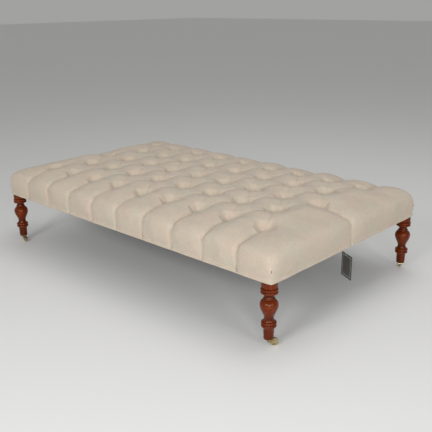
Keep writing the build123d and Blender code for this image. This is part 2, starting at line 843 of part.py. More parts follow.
with BuildPart() as ticket_staple:
    with BuildLine(card_view):
        FilletPolyline(
            (-hook_width / 2, underside + hook_leg),
            (-hook_width / 2, hook_level),
            (hook_width / 2, hook_level),
            (hook_width / 2, underside + hook_leg),
            radius=2 * hook_wire,
        )
    with BuildSketch(Plane.XY.offset(underside + hook_leg)):
        with Locations(hanging_line - card_axis * (hook_width / 2)):
            Circle(hook_wire)
    sweep()
save(ticket_staple.part, "ticket_staple")

bend_top = loop_top - tie_bend
bend_bottom = loop_bottom + tie_bend
with BuildPart() as ticket_tie:
    with BuildLine(loop_view):
        Line((tie_bend, bend_bottom), (tie_bend, bend_top))
        ThreePointArc((tie_bend, bend_top), (0, loop_top), (-tie_bend, bend_top))
        Line((-tie_bend, bend_top), (-tie_bend, bend_bottom))
        ThreePointArc((-tie_bend, bend_bottom), (0, loop_bottom), (tie_bend, bend_bottom))
    with BuildSketch(Plane.XY.offset(bend_bottom)):
        with Locations(hanging_line + card_normal * tie_bend):
            Circle(tie_wire)
    sweep()
save(ticket_tie.part, "ticket_tie")

barrel_radius = eyelet_radius + eyelet_wall
with BuildPart() as ticket_card:
    with BuildSketch(card_view):
        with Locations((0, eyelet_level + eyelet_drop - ticket_height / 2)):
            RectangleRounded(ticket_width, ticket_height, ticket_corner)
        with Locations((0, eyelet_level)):
            Circle(barrel_radius + eyelet_clearance, mode=Mode.SUBTRACT)
    extrude(amount=ticket_thickness / 2, both=True)
save(ticket_card.part, "ticket_card")

with BuildPart() as ticket_eyelet:
    with BuildSketch(card_view):
        with Locations((0, eyelet_level)):
            Circle(barrel_radius)
    extrude(amount=ticket_thickness / 2, both=True)
    for side in (-1, 1):
        with BuildSketch(card_view.offset(side * ticket_thickness / 2)):
            with Locations((0, eyelet_level)):
                Circle(eyelet_radius + eyelet_rim)
        extrude(amount=side * eyelet_rim_thickness)
    with BuildSketch(card_view):
        with Locations((0, eyelet_level)):
            Circle(eyelet_radius)
    extrude(amount=2 * ticket_thickness, both=True, mode=Mode.SUBTRACT)
save(ticket_eyelet.part, "ticket_eyelet")
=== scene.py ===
# %% [markdown]
# A deep-buttoned ottoman table, dressed in Blender. The timber frame, legs and castors come from a
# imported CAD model. This file gives them their finishes and makes the linen cover, the dust cover and
# the corner stitches as meshes. Each step is a cell, and the text before it says what is made, how,
# and why in that way.

from math import cos, radians, sin

import bmesh
import bpy
import numpy as np
from mathutils import Matrix, Vector


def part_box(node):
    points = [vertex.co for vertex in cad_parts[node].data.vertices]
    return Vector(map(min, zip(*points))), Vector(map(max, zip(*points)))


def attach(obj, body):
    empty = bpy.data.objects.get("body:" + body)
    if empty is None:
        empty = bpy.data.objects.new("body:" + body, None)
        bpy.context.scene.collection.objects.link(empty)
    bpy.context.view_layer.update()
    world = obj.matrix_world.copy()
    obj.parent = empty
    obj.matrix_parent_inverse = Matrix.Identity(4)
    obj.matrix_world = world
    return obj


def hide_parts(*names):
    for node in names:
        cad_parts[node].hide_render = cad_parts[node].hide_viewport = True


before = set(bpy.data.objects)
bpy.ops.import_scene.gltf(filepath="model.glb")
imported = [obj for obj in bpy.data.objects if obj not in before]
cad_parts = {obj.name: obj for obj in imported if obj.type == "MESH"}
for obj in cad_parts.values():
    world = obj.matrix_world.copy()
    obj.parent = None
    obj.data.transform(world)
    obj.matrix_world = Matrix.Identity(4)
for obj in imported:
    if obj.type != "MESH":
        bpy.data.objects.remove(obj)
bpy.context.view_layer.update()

# %% [markdown]
# A photograph fixes four things about its camera: where it stands, the way it looks, how far it leans,
# and how much it takes in. The turn could be three Euler angles, but an azimuth, an elevation and a
# roll say it in words, and three axes built from them make the camera's matrix. The lens is given for
# a frame 36 mm wide, because that is how a camera's sensor is set.

# %% Camera
camera_place = Vector((1.8843, -1.8953, 1.0537))
camera_azimuth = radians(43.33)
camera_elevation = radians(18.28)
camera_roll = radians(-0.543)
camera_lens = 54.28
sensor_width = 36

backwards = Vector((
    sin(camera_azimuth) * cos(camera_elevation),
    -cos(camera_azimuth) * cos(camera_elevation),
    sin(camera_elevation),
))
level_right = Vector((cos(camera_azimuth), sin(camera_azimuth), 0))
level_up = backwards.cross(level_right)
turned_right = cos(camera_roll) * level_right + sin(camera_roll) * level_up
turned_up = backwards.cross(turned_right)

camera_data = bpy.data.cameras.new("camera")
camera_data.sensor_width = sensor_width
camera_data.lens = camera_lens
camera = bpy.data.objects.new("camera", camera_data)
bpy.context.scene.collection.objects.link(camera)
turn = Matrix((turned_right, turned_up, backwards)).transposed()
camera.matrix_world = Matrix.Translation(camera_place) @ turn.to_4x4()
bpy.context.scene.camera = camera
print("camera at", [round(v, 3) for v in camera_place])

# %% [markdown]
# Two small helpers save repeating the same lines. One puts new data into the scene as an object. The
# other starts a material, and gives back a function that adds a node, sets its values and joins its
# inputs in one call.

# %% Helpers for objects and materials


def link_object(name, data):
    """Puts data into the scene as an object of that name."""
    thing = bpy.data.objects.new(name, data)
    bpy.context.scene.collection.objects.link(thing)
    return thing


def new_material(name):
    """An empty node material with its shader, and a function that adds and sets nodes."""
    material = bpy.data.materials.new(name)
    material.use_nodes = True
    tree = material.node_tree
    shader = tree.nodes["Principled BSDF"]

    def add(kind, inputs=None, **settings):
        node = tree.nodes.new(kind)
        for key, value in settings.items():
            setattr(node, key, value)
        for key, value in (inputs or {}).items():
            if isinstance(value, bpy.types.NodeSocket):
                tree.links.new(value, node.inputs[key])
            else:
                node.inputs[key].default_value = value
        return node

    return material, tree, shader, add


# %% [markdown]
# A studio for furniture is a plain pale floor in a pale room. One large square is enough for the
# floor. The room could be walls and a ceiling, but an even world colour lights the piece from all
# sides just as softly.

# %% Floor and world
floor_half = 30
floor_colour = (0.80, 0.80, 0.79, 1)
floor_roughness = 0.6
world_strength = 0.45
square = ((-1, -1), (1, -1), (1, 1), (-1, 1))

floor_mesh = bpy.data.meshes.new("floor")
floor_mesh.from_pydata([(x * floor_half, y * floor_half, 0) for x, y in square], [], [(0, 1, 2, 3)])
floor = link_object("floor", floor_mesh)
floor_material, _, floor_shader, _ = new_material("floor")
floor_shader.inputs["Base Color"].default_value = floor_colour
floor_shader.inputs["Roughness"].default_value = floor_roughness
floor_mesh.materials.append(floor_material)

world = bpy.data.worlds.new("studio")
world.use_nodes = True
background = world.node_tree.nodes["Background"]
background.inputs["Color"].default_value = floor_colour
background.inputs["Strength"].default_value = world_strength
bpy.context.scene.world = world
bpy.context.scene.view_settings.view_transform = "Standard"
print("floor", 2 * floor_half, "m wide")

# %% [markdown]
# Softboxes are large lamps behind white cloth, so they give soft shadows and broad highlights, and
# an area lamp is one without its box. Two stand in front, one on each side, and give every turned
# ring of the legs two highlights. A broad one over the camera fills the pits of the buttons with
# light, and one more overhead keeps the far side of the puffs from going dark.

# %% Lamps
lamps = {
    "left_softbox": {"place": (0.9, -3.7, 2.0), "size": (1.2, 1.2), "watts": 46},
    "right_softbox": {"place": (4.0, -1.0, 1.8), "size": (1.2, 1.2), "watts": 24},
    "front_softbox": {"place": (3.4, -3.3, 1.7), "size": (2.0, 1.2), "watts": 78},
    "overhead_softbox": {"place": (0.4, 0.6, 3.2), "size": (2.4, 1.8), "watts": 20},
}
lamp_target = Vector((0, 0, 0.25))


def softbox(name, place, size, watts):
    """A rectangular lamp at a place, turned to the middle of the table."""
    data = bpy.data.lights.new(name, "AREA")
    data.shape = "RECTANGLE"
    data.size, data.size_y = size
    data.energy = watts
    lamp = link_object(name, data)
    lamp.location = place
    lamp.rotation_euler = (lamp_target - Vector(place)).to_track_quat("-Z", "Y").to_euler()
    return lamp


for lamp_name, values in lamps.items():
    softbox(lamp_name, **values)
print("lamps", sum(values["watts"] for values in lamps.values()), "W")

# %% [markdown]
# The cover is one piece of linen, so its shape is easiest to plan on the flat cloth. A place on the
# cloth has two coordinates, along and across the table, and they run on past the outer buttons and
# down the sides. Everything that dents the cloth, such as a button or a crease, is first worked out
# there.

# %% Places on the flat cloth
cover_low, cover_high = (np.array(corner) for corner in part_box("linen_cover"))
buttons_high = np.array(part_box("buttons")[1])
button_radius = 0.010
long_gaps = 8
short_gaps = 4
tuft_x, tuft_y = buttons_high[:2] - button_radius
button_pitch = 2 * tuft_x / long_gaps
row_pitch = 2 * tuft_y / short_gaps

button_places = np.array([
    (column * button_pitch / 2, row * row_pitch)
    for row in range(-short_gaps // 2, short_gaps // 2 + 1)
    for column in range(-long_gaps, long_gaps + 1)
    if (column + row) % 2 == 0
])
print(len(button_places), "buttons")

# %% [markdown]
# Seen from the side, the cloth leaves the outer buttons almost level, slopes down a little, turns
# over a round edge, bellies out and is drawn in to a small roll along the bottom. A curve object
# could be bevelled to that outline, but here it has to carry the tufting too, so it is an array. Its
# points say how far out each level lies, and a smooth curve is passed through them.

# %% The outline of the side
side_profile = np.array([
    (0.0000, 0.3668),
    (0.0160, 0.3658),
    (0.0450, 0.3585),
    (0.0760, 0.3500),
    (0.1060, 0.3410),
    (0.1310, 0.3315),
    (0.1460, 0.3180),
    (0.1525, 0.2980),
    (0.1528, 0.2740),
    (0.1498, 0.2520),
    (0.1466, 0.2405),
    (0.1468, 0.2365),
    (0.1496, 0.2315),
    (0.1486, 0.2262),
    (0.1440, 0.2246),
])
profile_samples = 600


def smooth_curve(points, count):
    """A Catmull-Rom curve: between two points it leaves each along the line through its neighbours."""
    padded = np.vstack([2 * points[0] - points[1], points, 2 * points[-1] - points[-2]])
    place = np.linspace(0, len(points) - 1, count)
    start = np.minimum(place.astype(int), len(points) - 2)
    part = (place - start)[:, None]
    before, here, there, after = (padded[start + step] for step in range(4))
    return 0.5 * (
        2 * here
        + (there - before) * part
        + (2 * before - 5 * here + 4 * there - after) * part**2
        + (3 * here - before - 3 * there + after) * part**3
    )


def measure(curve):
    """The length along a curve at each of its points."""
    steps = np.linalg.norm(np.diff(curve, axis=0), axis=1)
    return np.concatenate([[0], np.cumsum(steps)])


profile = smooth_curve(side_profile, profile_samples)
profile_length = measure(profile)
side_reach = profile_length[-1]
print("cloth from outer button to hem", round(float(side_reach), 4), "m")

# %% [markdown]
# The side of the mesh will be rings at places along that curve, closer together near the buttons and
# near the hem, where the cloth bends most. Each ring needs its place and its normal, the direction
# square to the cloth, because a dent goes in along the normal. Close to the buttons the normal is
# turned upright, so that the side meets the level top without a step.

# %% Rings down the side
rings = 66
ring_crowding = 0.25
level_start = 0.020

tangent = np.gradient(profile, profile_length, axis=0)
tangent /= np.linalg.norm(tangent, axis=1)[:, None]
even = np.linspace(0, 1, rings)
ring_lengths = side_reach * (even - ring_crowding * np.sin(2 * np.pi * even) / (2 * np.pi))
ring_out, ring_level = (np.interp(ring_lengths, profile_length, profile[:, k]) for k in range(2))
ring_normal_out = -np.interp(ring_lengths, profile_length, tangent[:, 1])
ring_normal_up = np.interp(ring_lengths, profile_length, tangent[:, 0])
start_share = np.clip(ring_lengths / level_start, 0, 1)
ring_normal_out *= start_share
ring_normal_up = 1 + (ring_normal_up - 1) * start_share
print(rings, "rings, the first", round(float(ring_lengths[1]), 4), "m from the buttons")

# %% [markdown]
# Each button pulls the cloth down, and the cloth folds along the straight line from each button to
# its neighbours. From the outer rows a pleat runs on over the edge. Each fold has a broad valley, a
# narrower line in it and a seam at its very bottom, where one side of the cloth is tucked under the
# other, so that side is steep and the other gentle. A cloth simulation would find such folds by
# itself, but not always in the same places, so tables give the depths at places along the fold, and
# how wide the line is there.

# %% Depths of the creases and pleats
crease_places = (0, 0.10, 0.22, 0.36, 0.50, 0.64, 0.78, 0.90, 1)
crease_line_depths = (0.003, 0.0030, 0.0028, 0.0020, 0.0012, 0.0020, 0.0028, 0.0030, 0.003)
crease_line_reaches = (0.020, 0.020, 0.020, 0.020, 0.018, 0.020, 0.020, 0.020, 0.020)
crease_valley_depths = (0.002, 0.0020, 0.0024, 0.0030, 0.0032, 0.0030, 0.0024, 0.0020, 0.002)
crease_valley_reach = 0.068
pleat_places = (0, 0.08, 0.20, 0.38, 0.52, 0.70, 0.88, 1)
pleat_line_depths = (0.012, 0.0115, 0.0095, 0.0085, 0.0075, 0.0060, 0.0036, 0.0016)
pleat_line_reaches = (0.032, 0.032, 0.032, 0.028, 0.024, 0.019, 0.014, 0.011)
pleat_valley_depths = (0.012, 0.0125, 0.0135, 0.0130, 0.0115, 0.0085, 0.0045, 0.0010)
pleat_valley_reach = 0.072
crease_seam_depths = (0.0010, 0.0020, 0.0024, 0.0018, 0.0012, 0.0018, 0.0024, 0.0020, 0.0010)
pleat_seam_depths = (0.0020, 0.0034, 0.0046, 0.0048, 0.0044, 0.0038, 0.0030, 0.0024)
print("pleats: valley", max(pleat_valley_depths), "m deep, line", max(pleat_line_depths), "m deep")

# %% [markdown]
# The folds lie between the buttons, so their lines are worked out from the buttons' places. In the
# middle each button has a crease to its neighbours in the next row. Each outer button sends a pleat
# over the long edge, one more goes over each short edge, and a short crease runs out from each corner
# button.

# %% Lines of the creases and pleats
corner_crease = 0.060


def lattice_creases():
    """Every line from a button to its neighbours in the next row."""
    creases = []
    for x, y in button_places:
        for side in (-1, 1):
            end = np.array((x + side * button_pitch / 2, y + row_pitch))
            if np.abs(button_places - end).sum(axis=1).min() < button_radius:
                creases.append((np.array((x, y)), end))
    return creases


def edge_pleats():
    """The pleats over the long edges, one from each outer button, and one over each short edge."""
    pleats = []
    for x, y in button_places[np.abs(button_places[:, 1]) > tuft_y - button_radius]:
        pleats.append((np.array((x, y)), np.array((x, y + np.sign(y) * side_reach))))
    for x in (-tuft_x, tuft_x):
        pleats.append((np.array((x, 0)), np.array((x + np.sign(x) * side_reach, 0))))
    return pleats


def corner_creases():
    """A short crease from each corner button towards the short edge."""
    creases = []
    for x in (-tuft_x, tuft_x):
        for y in (-tuft_y, tuft_y):
            creases.append((np.array((x, y)), np.array((x + np.sign(x) * corner_crease, y))))
    return creases


print(len(lattice_creases()), "creases,", len(edge_pleats()), "pleats,", len(corner_creases()), "short")

# %% [markdown]
# A fold's depth is worked out from each point's distance to the fold's line. All points go through at
# once as arrays, which is hundreds of times quicker than a loop over vertices. Depths are given as
# shares of one limit, the deepest that the cloth can go, so that they can be joined later.

# %% How far a fold draws the cloth down
pit_limit = 0.0495
line_power = 2.4
valley_power = 1.8
seam_power = 1.2
steep_reach = 0.0042
gentle_reach = 0.013
on_line = 1e-7
wander = 0.0022
wander_length = 0.085


def crease_pull(x, y, start, end, places, line, valley, seam, lean, phase):
    """Share of the pit's depth that a crease gives at each point.

    The point's foot on the crease gives the depths and the reaches there. Away from the crease the
    depth falls to nothing at its reach, as (1 - distance / reach) to a power. The crease wanders a
    little to the left and right of its straight line, as a slow sine of the length along it. The
    side towards which the crease leans is the steep one.
    """
    way = end - start
    length = np.hypot(*way)
    along = ((x - start[0]) * way[0] + (y - start[1]) * way[1]) / length**2
    inside = np.clip(along, 0, 1)
    aside = ((x - start[0]) * way[1] - (y - start[1]) * way[0]) / length
    swing = wander * np.sin(2 * np.pi * inside * length / wander_length + phase)
    aside = aside - swing * np.clip(4 * inside * (1 - inside), 0, 1)
    distance = np.hypot(aside, (along - inside) * length)
    depth = np.zeros_like(x)
    for (depths, reaches), power in ((line, line_power), (valley, valley_power)):
        near = np.clip(1 - distance / np.interp(inside, places, reaches), 0, 1)
        depth += np.interp(inside, places, depths) * near**power
    seam_reach = np.where(lean * aside > on_line, steep_reach, gentle_reach)
    depth += np.interp(inside, places, seam) * np.clip(1 - distance / seam_reach, 0, 1) ** seam_power
    return depth / pit_limit


print("a seam is", steep_reach, "m wide on one side and", gentle_reach, "m on the other")

# %% [markdown]
# The pit of a button is a bell turned upside down, steep half way up and quick to level out at its
# brow. A broad, shallow bell round it is the filling that slopes towards the button, and small
# gathers run out from the button where there is more cloth than the pit has room for.

# %% How far a button draws the cloth down
pit_depth = 0.033
pit_radius = 0.044
pit_power = 1.12
funnel_depth = 0.015
funnel_radius = 0.108
funnel_power = 2
gather_count = 6
gather_height = 0.0024
gather_reach = 1.3
gather_scale = 2.2
random = np.random.default_rng(7)
button_phases = random.uniform(0, 2 * np.pi, len(button_places))


def pit_pull(x, y, centre, phase):
    """Share of the depth that a button gives: two bells and the gathers.

    A bell is 1 - (distance / radius)^2 to a power. The narrow one is the pit itself, and its low
    power gives it a crisp rim. The broad one is the slope of the filling towards the pit. The
    gathers are small folds that run out from the button, a cosine of the angle round it, with a sine
    added inside so that they aren't evenly spaced. They are highest part way up the wall, as
    distance * (reach - distance), squared.
    """
    away = np.hypot(x - centre[0], y - centre[1])
    distance = away / pit_radius
    angle = np.arctan2(y - centre[1], x - centre[0])
    bell = pit_depth * np.clip(1 - distance**2, 0, 1) ** pit_power
    bell += funnel_depth * np.clip(1 - (away / funnel_radius) ** 2, 0, 1) ** funnel_power
    window = np.clip(distance * (gather_reach - distance), 0, 1) * gather_scale
    folds = gather_height * window**2 * np.cos(gather_count * angle + phase + np.sin(2 * angle + phase))
    return (bell - folds) / pit_limit


print("pits", round(2 * pit_radius, 3), "m across")

# %% [markdown]
# The depth of the cloth at a point comes from everything near it. Adding the depths up would dig
# holes where folds meet, and taking only the largest would leave sharp ridges between them. So they
# are joined as chances are: what one fold leaves of the height is multiplied by what the next one
# leaves. Folds that meet then run into each other smoothly and never dig deeper than the limit.

# %% The whole dent
crease_line = (crease_line_depths, crease_line_reaches)
crease_valley = (crease_valley_depths, [crease_valley_reach] * len(crease_places))
crease_fold = (crease_places, crease_line, crease_valley, crease_seam_depths, 1)
pleat_line = (pleat_line_depths, pleat_line_reaches)
pleat_valley = (pleat_valley_depths, [pleat_valley_reach] * len(pleat_places))
pleat_fold = (pleat_places, pleat_line, pleat_valley, pleat_seam_depths, -1)
short_line = ((crease_line_depths[1], 0), (crease_line_reaches[0], crease_line_reaches[0]))
short_valley = ((crease_valley_depths[0], 0), (crease_valley_reach, crease_line_reaches[0]))
short_fold = ((0, 1), short_line, short_valley, (crease_seam_depths[1], 0), 1)


def dent(x, y):
    """How far the cloth lies below its crown: the limit times (1 - the product of what is left)."""
    left = np.ones_like(x)
    for number, (start, end) in enumerate(lattice_creases()):
        left *= 1 - crease_pull(x, y, start, end, *crease_fold, number)
    for number, (start, end) in enumerate(edge_pleats()):
        left *= 1 - crease_pull(x, y, start, end, *pleat_fold, 2 * number)
    for start, end in corner_creases():
        left *= 1 - crease_pull(x, y, start, end, *short_fold, 0)
    for centre, phase in zip(button_places, button_phases):
        left *= 1 - pit_pull(x, y, centre, phase)
    return pit_limit * (1 - left)


middle_dent = dent(np.zeros(1), np.zeros(1))[0]
print("the middle button lies", round(float(middle_dent), 4), "m below the crown")

# %% [markdown]
# No two puffs are stuffed alike, and hand-pulled cloth is never quite even. A noise texture on a
# Displace modifier would do, but then the mesh could not be measured here, so the unevenness is a sum
# of long, low waves in many directions.

# %% Unevenness of the filling
wave_count = 26
wave_height = 0.0007
wave_power = 0.8
shortest_wave, longest_wave = 0.045, 0.30
wave_angles = random.uniform(0, 2 * np.pi, wave_count)
wave_lengths = np.geomspace(shortest_wave, longest_wave, wave_count)
wave_phases = random.uniform(0, 2 * np.pi, wave_count)


def unevenness(x, y):
    """A sum of plane sine waves of many lengths and directions, lower where they are shorter."""
    height = np.zeros_like(x)
    for angle, length, phase in zip(wave_angles, wave_lengths, wave_phases):
        share = wave_height * (length / longest_wave) ** wave_power
        height += share * np.sin(2 * np.pi * (x * cos(angle) + y * sin(angle)) / length + phase)
    return height


print(wave_count, "waves, the longest", longest_wave, "m")

# %% [markdown]
# The mesh follows the tufting. A plain square grid would cut across the creases and make them look
# like steps. So between the outer buttons its lines run along the diamonds' edges: every crease lies
# on an edge of the mesh, and the lines crowd together there. Around that field, rings carry the cloth
# out and down to the hem.

# %% The tufted field
diamond_cells = 46
crowding = 0.6
crown_rise = 0.003


def crowded_lines(count):
    """Places of the mesh lines, in diamonds: t - c sin(2 pi t) / (2 pi), which crowds at whole t."""
    step = np.arange(-count * diamond_cells, count * diamond_cells + 1) / diamond_cells
    return step - crowding * np.sin(2 * np.pi * step) / (2 * np.pi)


def tufted_field():
    """Points on the flat cloth inside the outer buttons, their quads and their triangles."""
    count = (long_gaps + short_gaps) // 2 - 1
    lines = crowded_lines(count)
    a, b = np.meshgrid(lines, lines, indexing="ij")
    number = np.arange(-count * diamond_cells, count * diamond_cells + 1)
    ka, kb = np.meshgrid(number, number, indexing="ij")
    inside = np.abs(ka + kb) <= long_gaps * diamond_cells
    inside &= np.abs(ka - kb) <= short_gaps // 2 * diamond_cells
    index = np.full(ka.shape, -1)
    index[inside] = np.arange(inside.sum())
    flat = np.column_stack([(a + b)[inside] * button_pitch / 2, (a - b)[inside] * row_pitch])
    corners = np.stack([index[:-1, :-1], index[:-1, 1:], index[1:, 1:], index[1:, :-1]], axis=-1)
    corners = corners.reshape(-1, 4)
    missing = (corners < 0).sum(axis=1)
    quads = corners[missing == 0]
    halves = corners[missing == 1]
    triangles = halves[halves >= 0].reshape(-1, 3)
    return flat, quads, triangles


field_flat, field_quads, field_triangles = tufted_field()
field_x, field_y = field_flat.T
field_dent = dent(field_x, field_y)
crown = crown_rise * (1 - (field_x / tuft_x) ** 2) * (1 - (field_y / tuft_y) ** 2)
lift = (crown + unevenness(field_x, field_y)) * (1 - field_dent / pit_limit)
field_level = side_profile[0, 1] - field_dent + lift
field_points = np.column_stack([field_flat, field_level])
print("field", len(field_points), "points, pits down to", round(float(field_level.min()), 4))

# %% [markdown]
# A ring is one turn round the table at one distance down the side. Along a straight side its points
# keep their place along the table, so the pleats run straight out. At a corner they fan out from the
# corner button, closer together towards the middle of the fan, where the corner turns sharply.

# %% Columns of points round the table
fan_steps = 52
fan_crowding = 1.7


def ring_columns():
    """For each column of the rings: the point on the field's border, and the angle it leaves at."""
    along = crowded_lines(long_gaps // 2) * button_pitch
    across = crowded_lines(short_gaps // 4) * 2 * row_pitch
    spread = np.linspace(-1, 1, fan_steps + 1)[1:-1]
    fan = (1 + np.sign(spread) * np.abs(spread) ** fan_crowding) * np.pi / 4
    columns = []
    for places, level, angle, axis in (
        (along, -tuft_y, -np.pi / 2, 0),
        (across, tuft_x, 0, 1),
        (along[::-1], tuft_y, np.pi / 2, 0),
        (across[::-1], -tuft_x, np.pi, 1),
    ):
        side = np.full((len(places), 3), float(angle))
        side[:, axis] = places
        side[:, 1 - axis] = level
        corner = np.tile(side[-1], (len(fan), 1))
        corner[:, 2] += fan
        columns += [side, corner]
    return np.vstack(columns)


columns = ring_columns()
column_angle = columns[:, 2]
leaving = np.column_stack([np.cos(column_angle), np.sin(column_angle)])
print(len(columns), "points in a ring")

# %% [markdown]
# The fan is round at the button and nearly square at the hem, where the cloth is drawn tight over the
# corner of the frame. A superellipse gives both and all between with one number, its power: at 2 it
# is a circle, and a high power is a square with small round corners. The dents go in along the
# normal, and they fade out over the last rings, because the hem is stapled flat.

# %% The sides
top_power, hem_power = 2.0, 26.0
power_growth = 1.2
hem_fade_shares = np.array((0.75, 0.5, 0.25, 0))
end_margin, side_margin = cover_high[0] - tuft_x, cover_high[1] - tuft_y
widest = profile[:, 0].max()


def fan_radius(angle, power):
    """Radius of the outline |x|^n + |y|^n = 1 at an angle, which is 1 along the sides."""
    return (np.abs(np.cos(angle)) ** power + np.abs(np.sin(angle)) ** power) ** (-1 / power)


share_out = (ring_lengths / side_reach)[:, None]
square_power = top_power * (hem_power / top_power) ** (share_out**power_growth)
radius = fan_radius(column_angle[None, :], square_power)

ring_flat = columns[None, :, :2] + ring_lengths[:, None, None] * leaving
flat_x, flat_y = ring_flat[..., 0].ravel(), ring_flat[..., 1].ravel()
ring_dent = dent(flat_x, flat_y)
ring_dent -= unevenness(flat_x, flat_y) * (1 - ring_dent / pit_limit)
ring_dent = ring_dent.reshape(radius.shape)
ring_dent[-len(hem_fade_shares):] *= hem_fade_shares[:, None]
outwards = (ring_out[:, None] - ring_dent * ring_normal_out[:, None]) * radius / widest
ring_x = columns[None, :, 0] + outwards * leaving[None, :, 0] * end_margin
ring_y = columns[None, :, 1] + outwards * leaving[None, :, 1] * side_margin
ring_z = ring_level[:, None] - ring_dent * ring_normal_up[:, None]
print("rings", ring_x.shape, "deepest", round(float(ring_dent.max()), 4))

# %% [markdown]
# Under the body the cloth turns in as a hem. A Solidify modifier could give the cloth its thickness,
# but the filling belongs to this piece too, so the surface goes up inside instead, round the frame
# and over the foam. The cover is then a closed shell with a real hollow, as the one that MuJoCo
# weighs.

# %% The hem and the hollow
hem_width = 0.034
cloth_thickness = 0.0015
wall_power = 11
foam_power = 6
wadding_high = np.array(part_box("side_wadding")[1])
foam_low, foam_high = (np.array(corner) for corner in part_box("foam_pad"))
soft_gap = 0.0003


def inner_ring(reach_x, reach_y, level, power):
    """One turn of the hollow, at its reach from the middle and its level."""
    ring_radius = fan_radius(column_angle, power)
    x = columns[:, 0] + ring_radius * leaving[:, 0] * (reach_x - tuft_x)
    y = columns[:, 1] + ring_radius * leaving[:, 1] * (reach_y - tuft_y)
    return np.column_stack([x, y, np.full(len(columns), level)])


hem_x = tuft_x + side_profile[-1, 0] - hem_width
hem_y = tuft_y + side_profile[-1, 0] - hem_width
wall_x, wall_y = wadding_high[:2] + soft_gap
foam_x, foam_y = foam_high[:2] + soft_gap
hem_level = cover_low[2]
hollow = np.array([
    inner_ring(hem_x, hem_y, hem_level, wall_power),
    inner_ring(hem_x, hem_y, hem_level + cloth_thickness, wall_power),
    inner_ring(wall_x, wall_y, hem_level + cloth_thickness, wall_power),
    inner_ring(wall_x, wall_y, foam_low[2] + soft_gap, wall_power),
    inner_ring(foam_x, foam_y, foam_low[2] + soft_gap, foam_power),
    inner_ring(foam_x, foam_y, foam_high[2] + soft_gap, foam_power),
])
turns = np.concatenate([np.stack([ring_x, ring_y, ring_z], axis=-1), hollow])
print("turns", turns.shape[0], "of", turns.shape[1], "points")

# %% [markdown]
# Rings become a mesh when each point is joined to the next one in its ring and to the one below it.
# The faces of all rings are again one array. Three helpers do that, make the object and store the
# map that a woven pattern is read from.

# %% Mesh helpers


def ring_faces(turn_count, column_count, first):
    """Four-sided faces between neighbouring turns, which close on themselves."""
    turn, column = np.meshgrid(np.arange(turn_count - 1), np.arange(column_count), indexing="ij")
    following = (column + 1) % column_count
    start = first + turn * column_count
    end = start + column_count
    corners = [start + column, end + column, end + following, start + following]
    return np.stack(corners, axis=-1).reshape(-1, 4)


def mesh_object(name, points, *faces):
    """A smooth mesh object from an array of points and arrays of faces."""
    mesh = bpy.data.meshes.new(name)
    mesh.from_pydata(points.tolist(), [], [face for part in faces for face in part.tolist()])
    mesh.shade_smooth()
    return link_object(name, mesh)


def set_face_uv(mesh, name, values):
    """Stores one pair of numbers for each corner of each face, in the order of the faces."""
    layer = mesh.uv_layers.new(name=name)
    layer.data.foreach_set("uv", np.ascontiguousarray(values, dtype=np.float32).ravel())


first_turn = len(field_points)
column_count = turns.shape[1]
side_faces = ring_faces(len(turns), column_count, first_turn)
ceiling = (first_turn + (len(turns) - 1) * column_count + np.arange(column_count))[None, ::-1]
cover_points = np.vstack([field_points, turns.reshape(-1, 3)])
print("faces", len(field_quads) + len(field_triangles) + len(side_faces) + len(ceiling))

# %% [markdown]
# The weave needs to know where each point lies on the flat cloth. Blender's own unwrapping would tear
# or stretch so dented a shape, but here the flat places are already known. On the top each point has
# its own. Down a side the cloth runs on straight, so its length is added to the side's own direction.
# At a corner the two sides meet in a mitre, so the faces left and right of it get different values.

# %% The places of the weave
extra_length = np.zeros((len(turns), 1))
extra_length[:rings, 0] = ring_lengths - ring_out

face_column = np.tile(np.arange(column_count), len(turns) - 1)
middle_angle = column_angle + np.diff(column_angle, append=column_angle[0] + 2 * np.pi) / 2
side_angle = np.round(middle_angle / (np.pi / 2)) * np.pi / 2
side_way = np.column_stack([np.cos(side_angle), np.sin(side_angle)])[face_column]
side_corner_points = side_faces - first_turn
side_uv = turns.reshape(-1, 3)[side_corner_points][..., :2]
side_uv += extra_length[side_corner_points // column_count] * side_way[:, None, :]
ceiling_uv = cover_points[ceiling[0], :2]
face_uvs = [field_flat[field_quads], field_flat[field_triangles], side_uv, ceiling_uv]
cloth_places = np.vstack([part.reshape(-1, 2) for part in face_uvs])
print("flat cloth", np.ptp(cloth_places, axis=0).round(3), "m")

# %% [markdown]
# The field, the turns and the ceiling of the hollow become one mesh. Points that coincide are merged, and
# the script counts the edges that don't join exactly two faces, so that no gap is left. The cover takes the
# place of the imported model's plainer one.

# %% The cover
weld_distance = 1e-6

cover = mesh_object("tufted_cover", cover_points, field_quads, field_triangles, side_faces, ceiling)
set_face_uv(cover.data, "cloth", cloth_places)

shell = bmesh.new()
shell.from_mesh(cover.data)
bmesh.ops.remove_doubles(shell, verts=shell.verts, dist=weld_distance)
open_edges = sum(not edge.is_manifold for edge in shell.edges)
shell_volume = shell.calc_volume(signed=True)
shell.to_mesh(cover.data)
print(len(shell.faces), "faces,", open_edges, "open edges, volume", round(shell_volume, 4))
shell.free()

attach(cover, "root")
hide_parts("linen_cover")

# %% [markdown]
# Every finish here is built from a few kinds of node, so each kind gets a short helper. Picture
# textures would need files and would repeat, while noise and waves never do and are sharp at any
# distance. They read Object coordinates, or the flat cloth's own map. Both are in metres, so the size
# of a pattern is a real size. Noise seldom comes near 0 or 1, so a finish often reads its middle range
# only.

# %% Helpers for finishes
band_spacing = np.pi / 10
noise_middle = (0.3, 0.7)
bump_strength = 0.6


def object_place(add):
    """The socket that gives a point's place in the object, in metres."""
    return add("ShaderNodeTexCoord").outputs["Object"]


def mapped(add, place, **settings):
    """A place moved, turned or scaled by a Mapping node."""
    return add("ShaderNodeMapping", {"Vector": place, **settings}).outputs["Vector"]


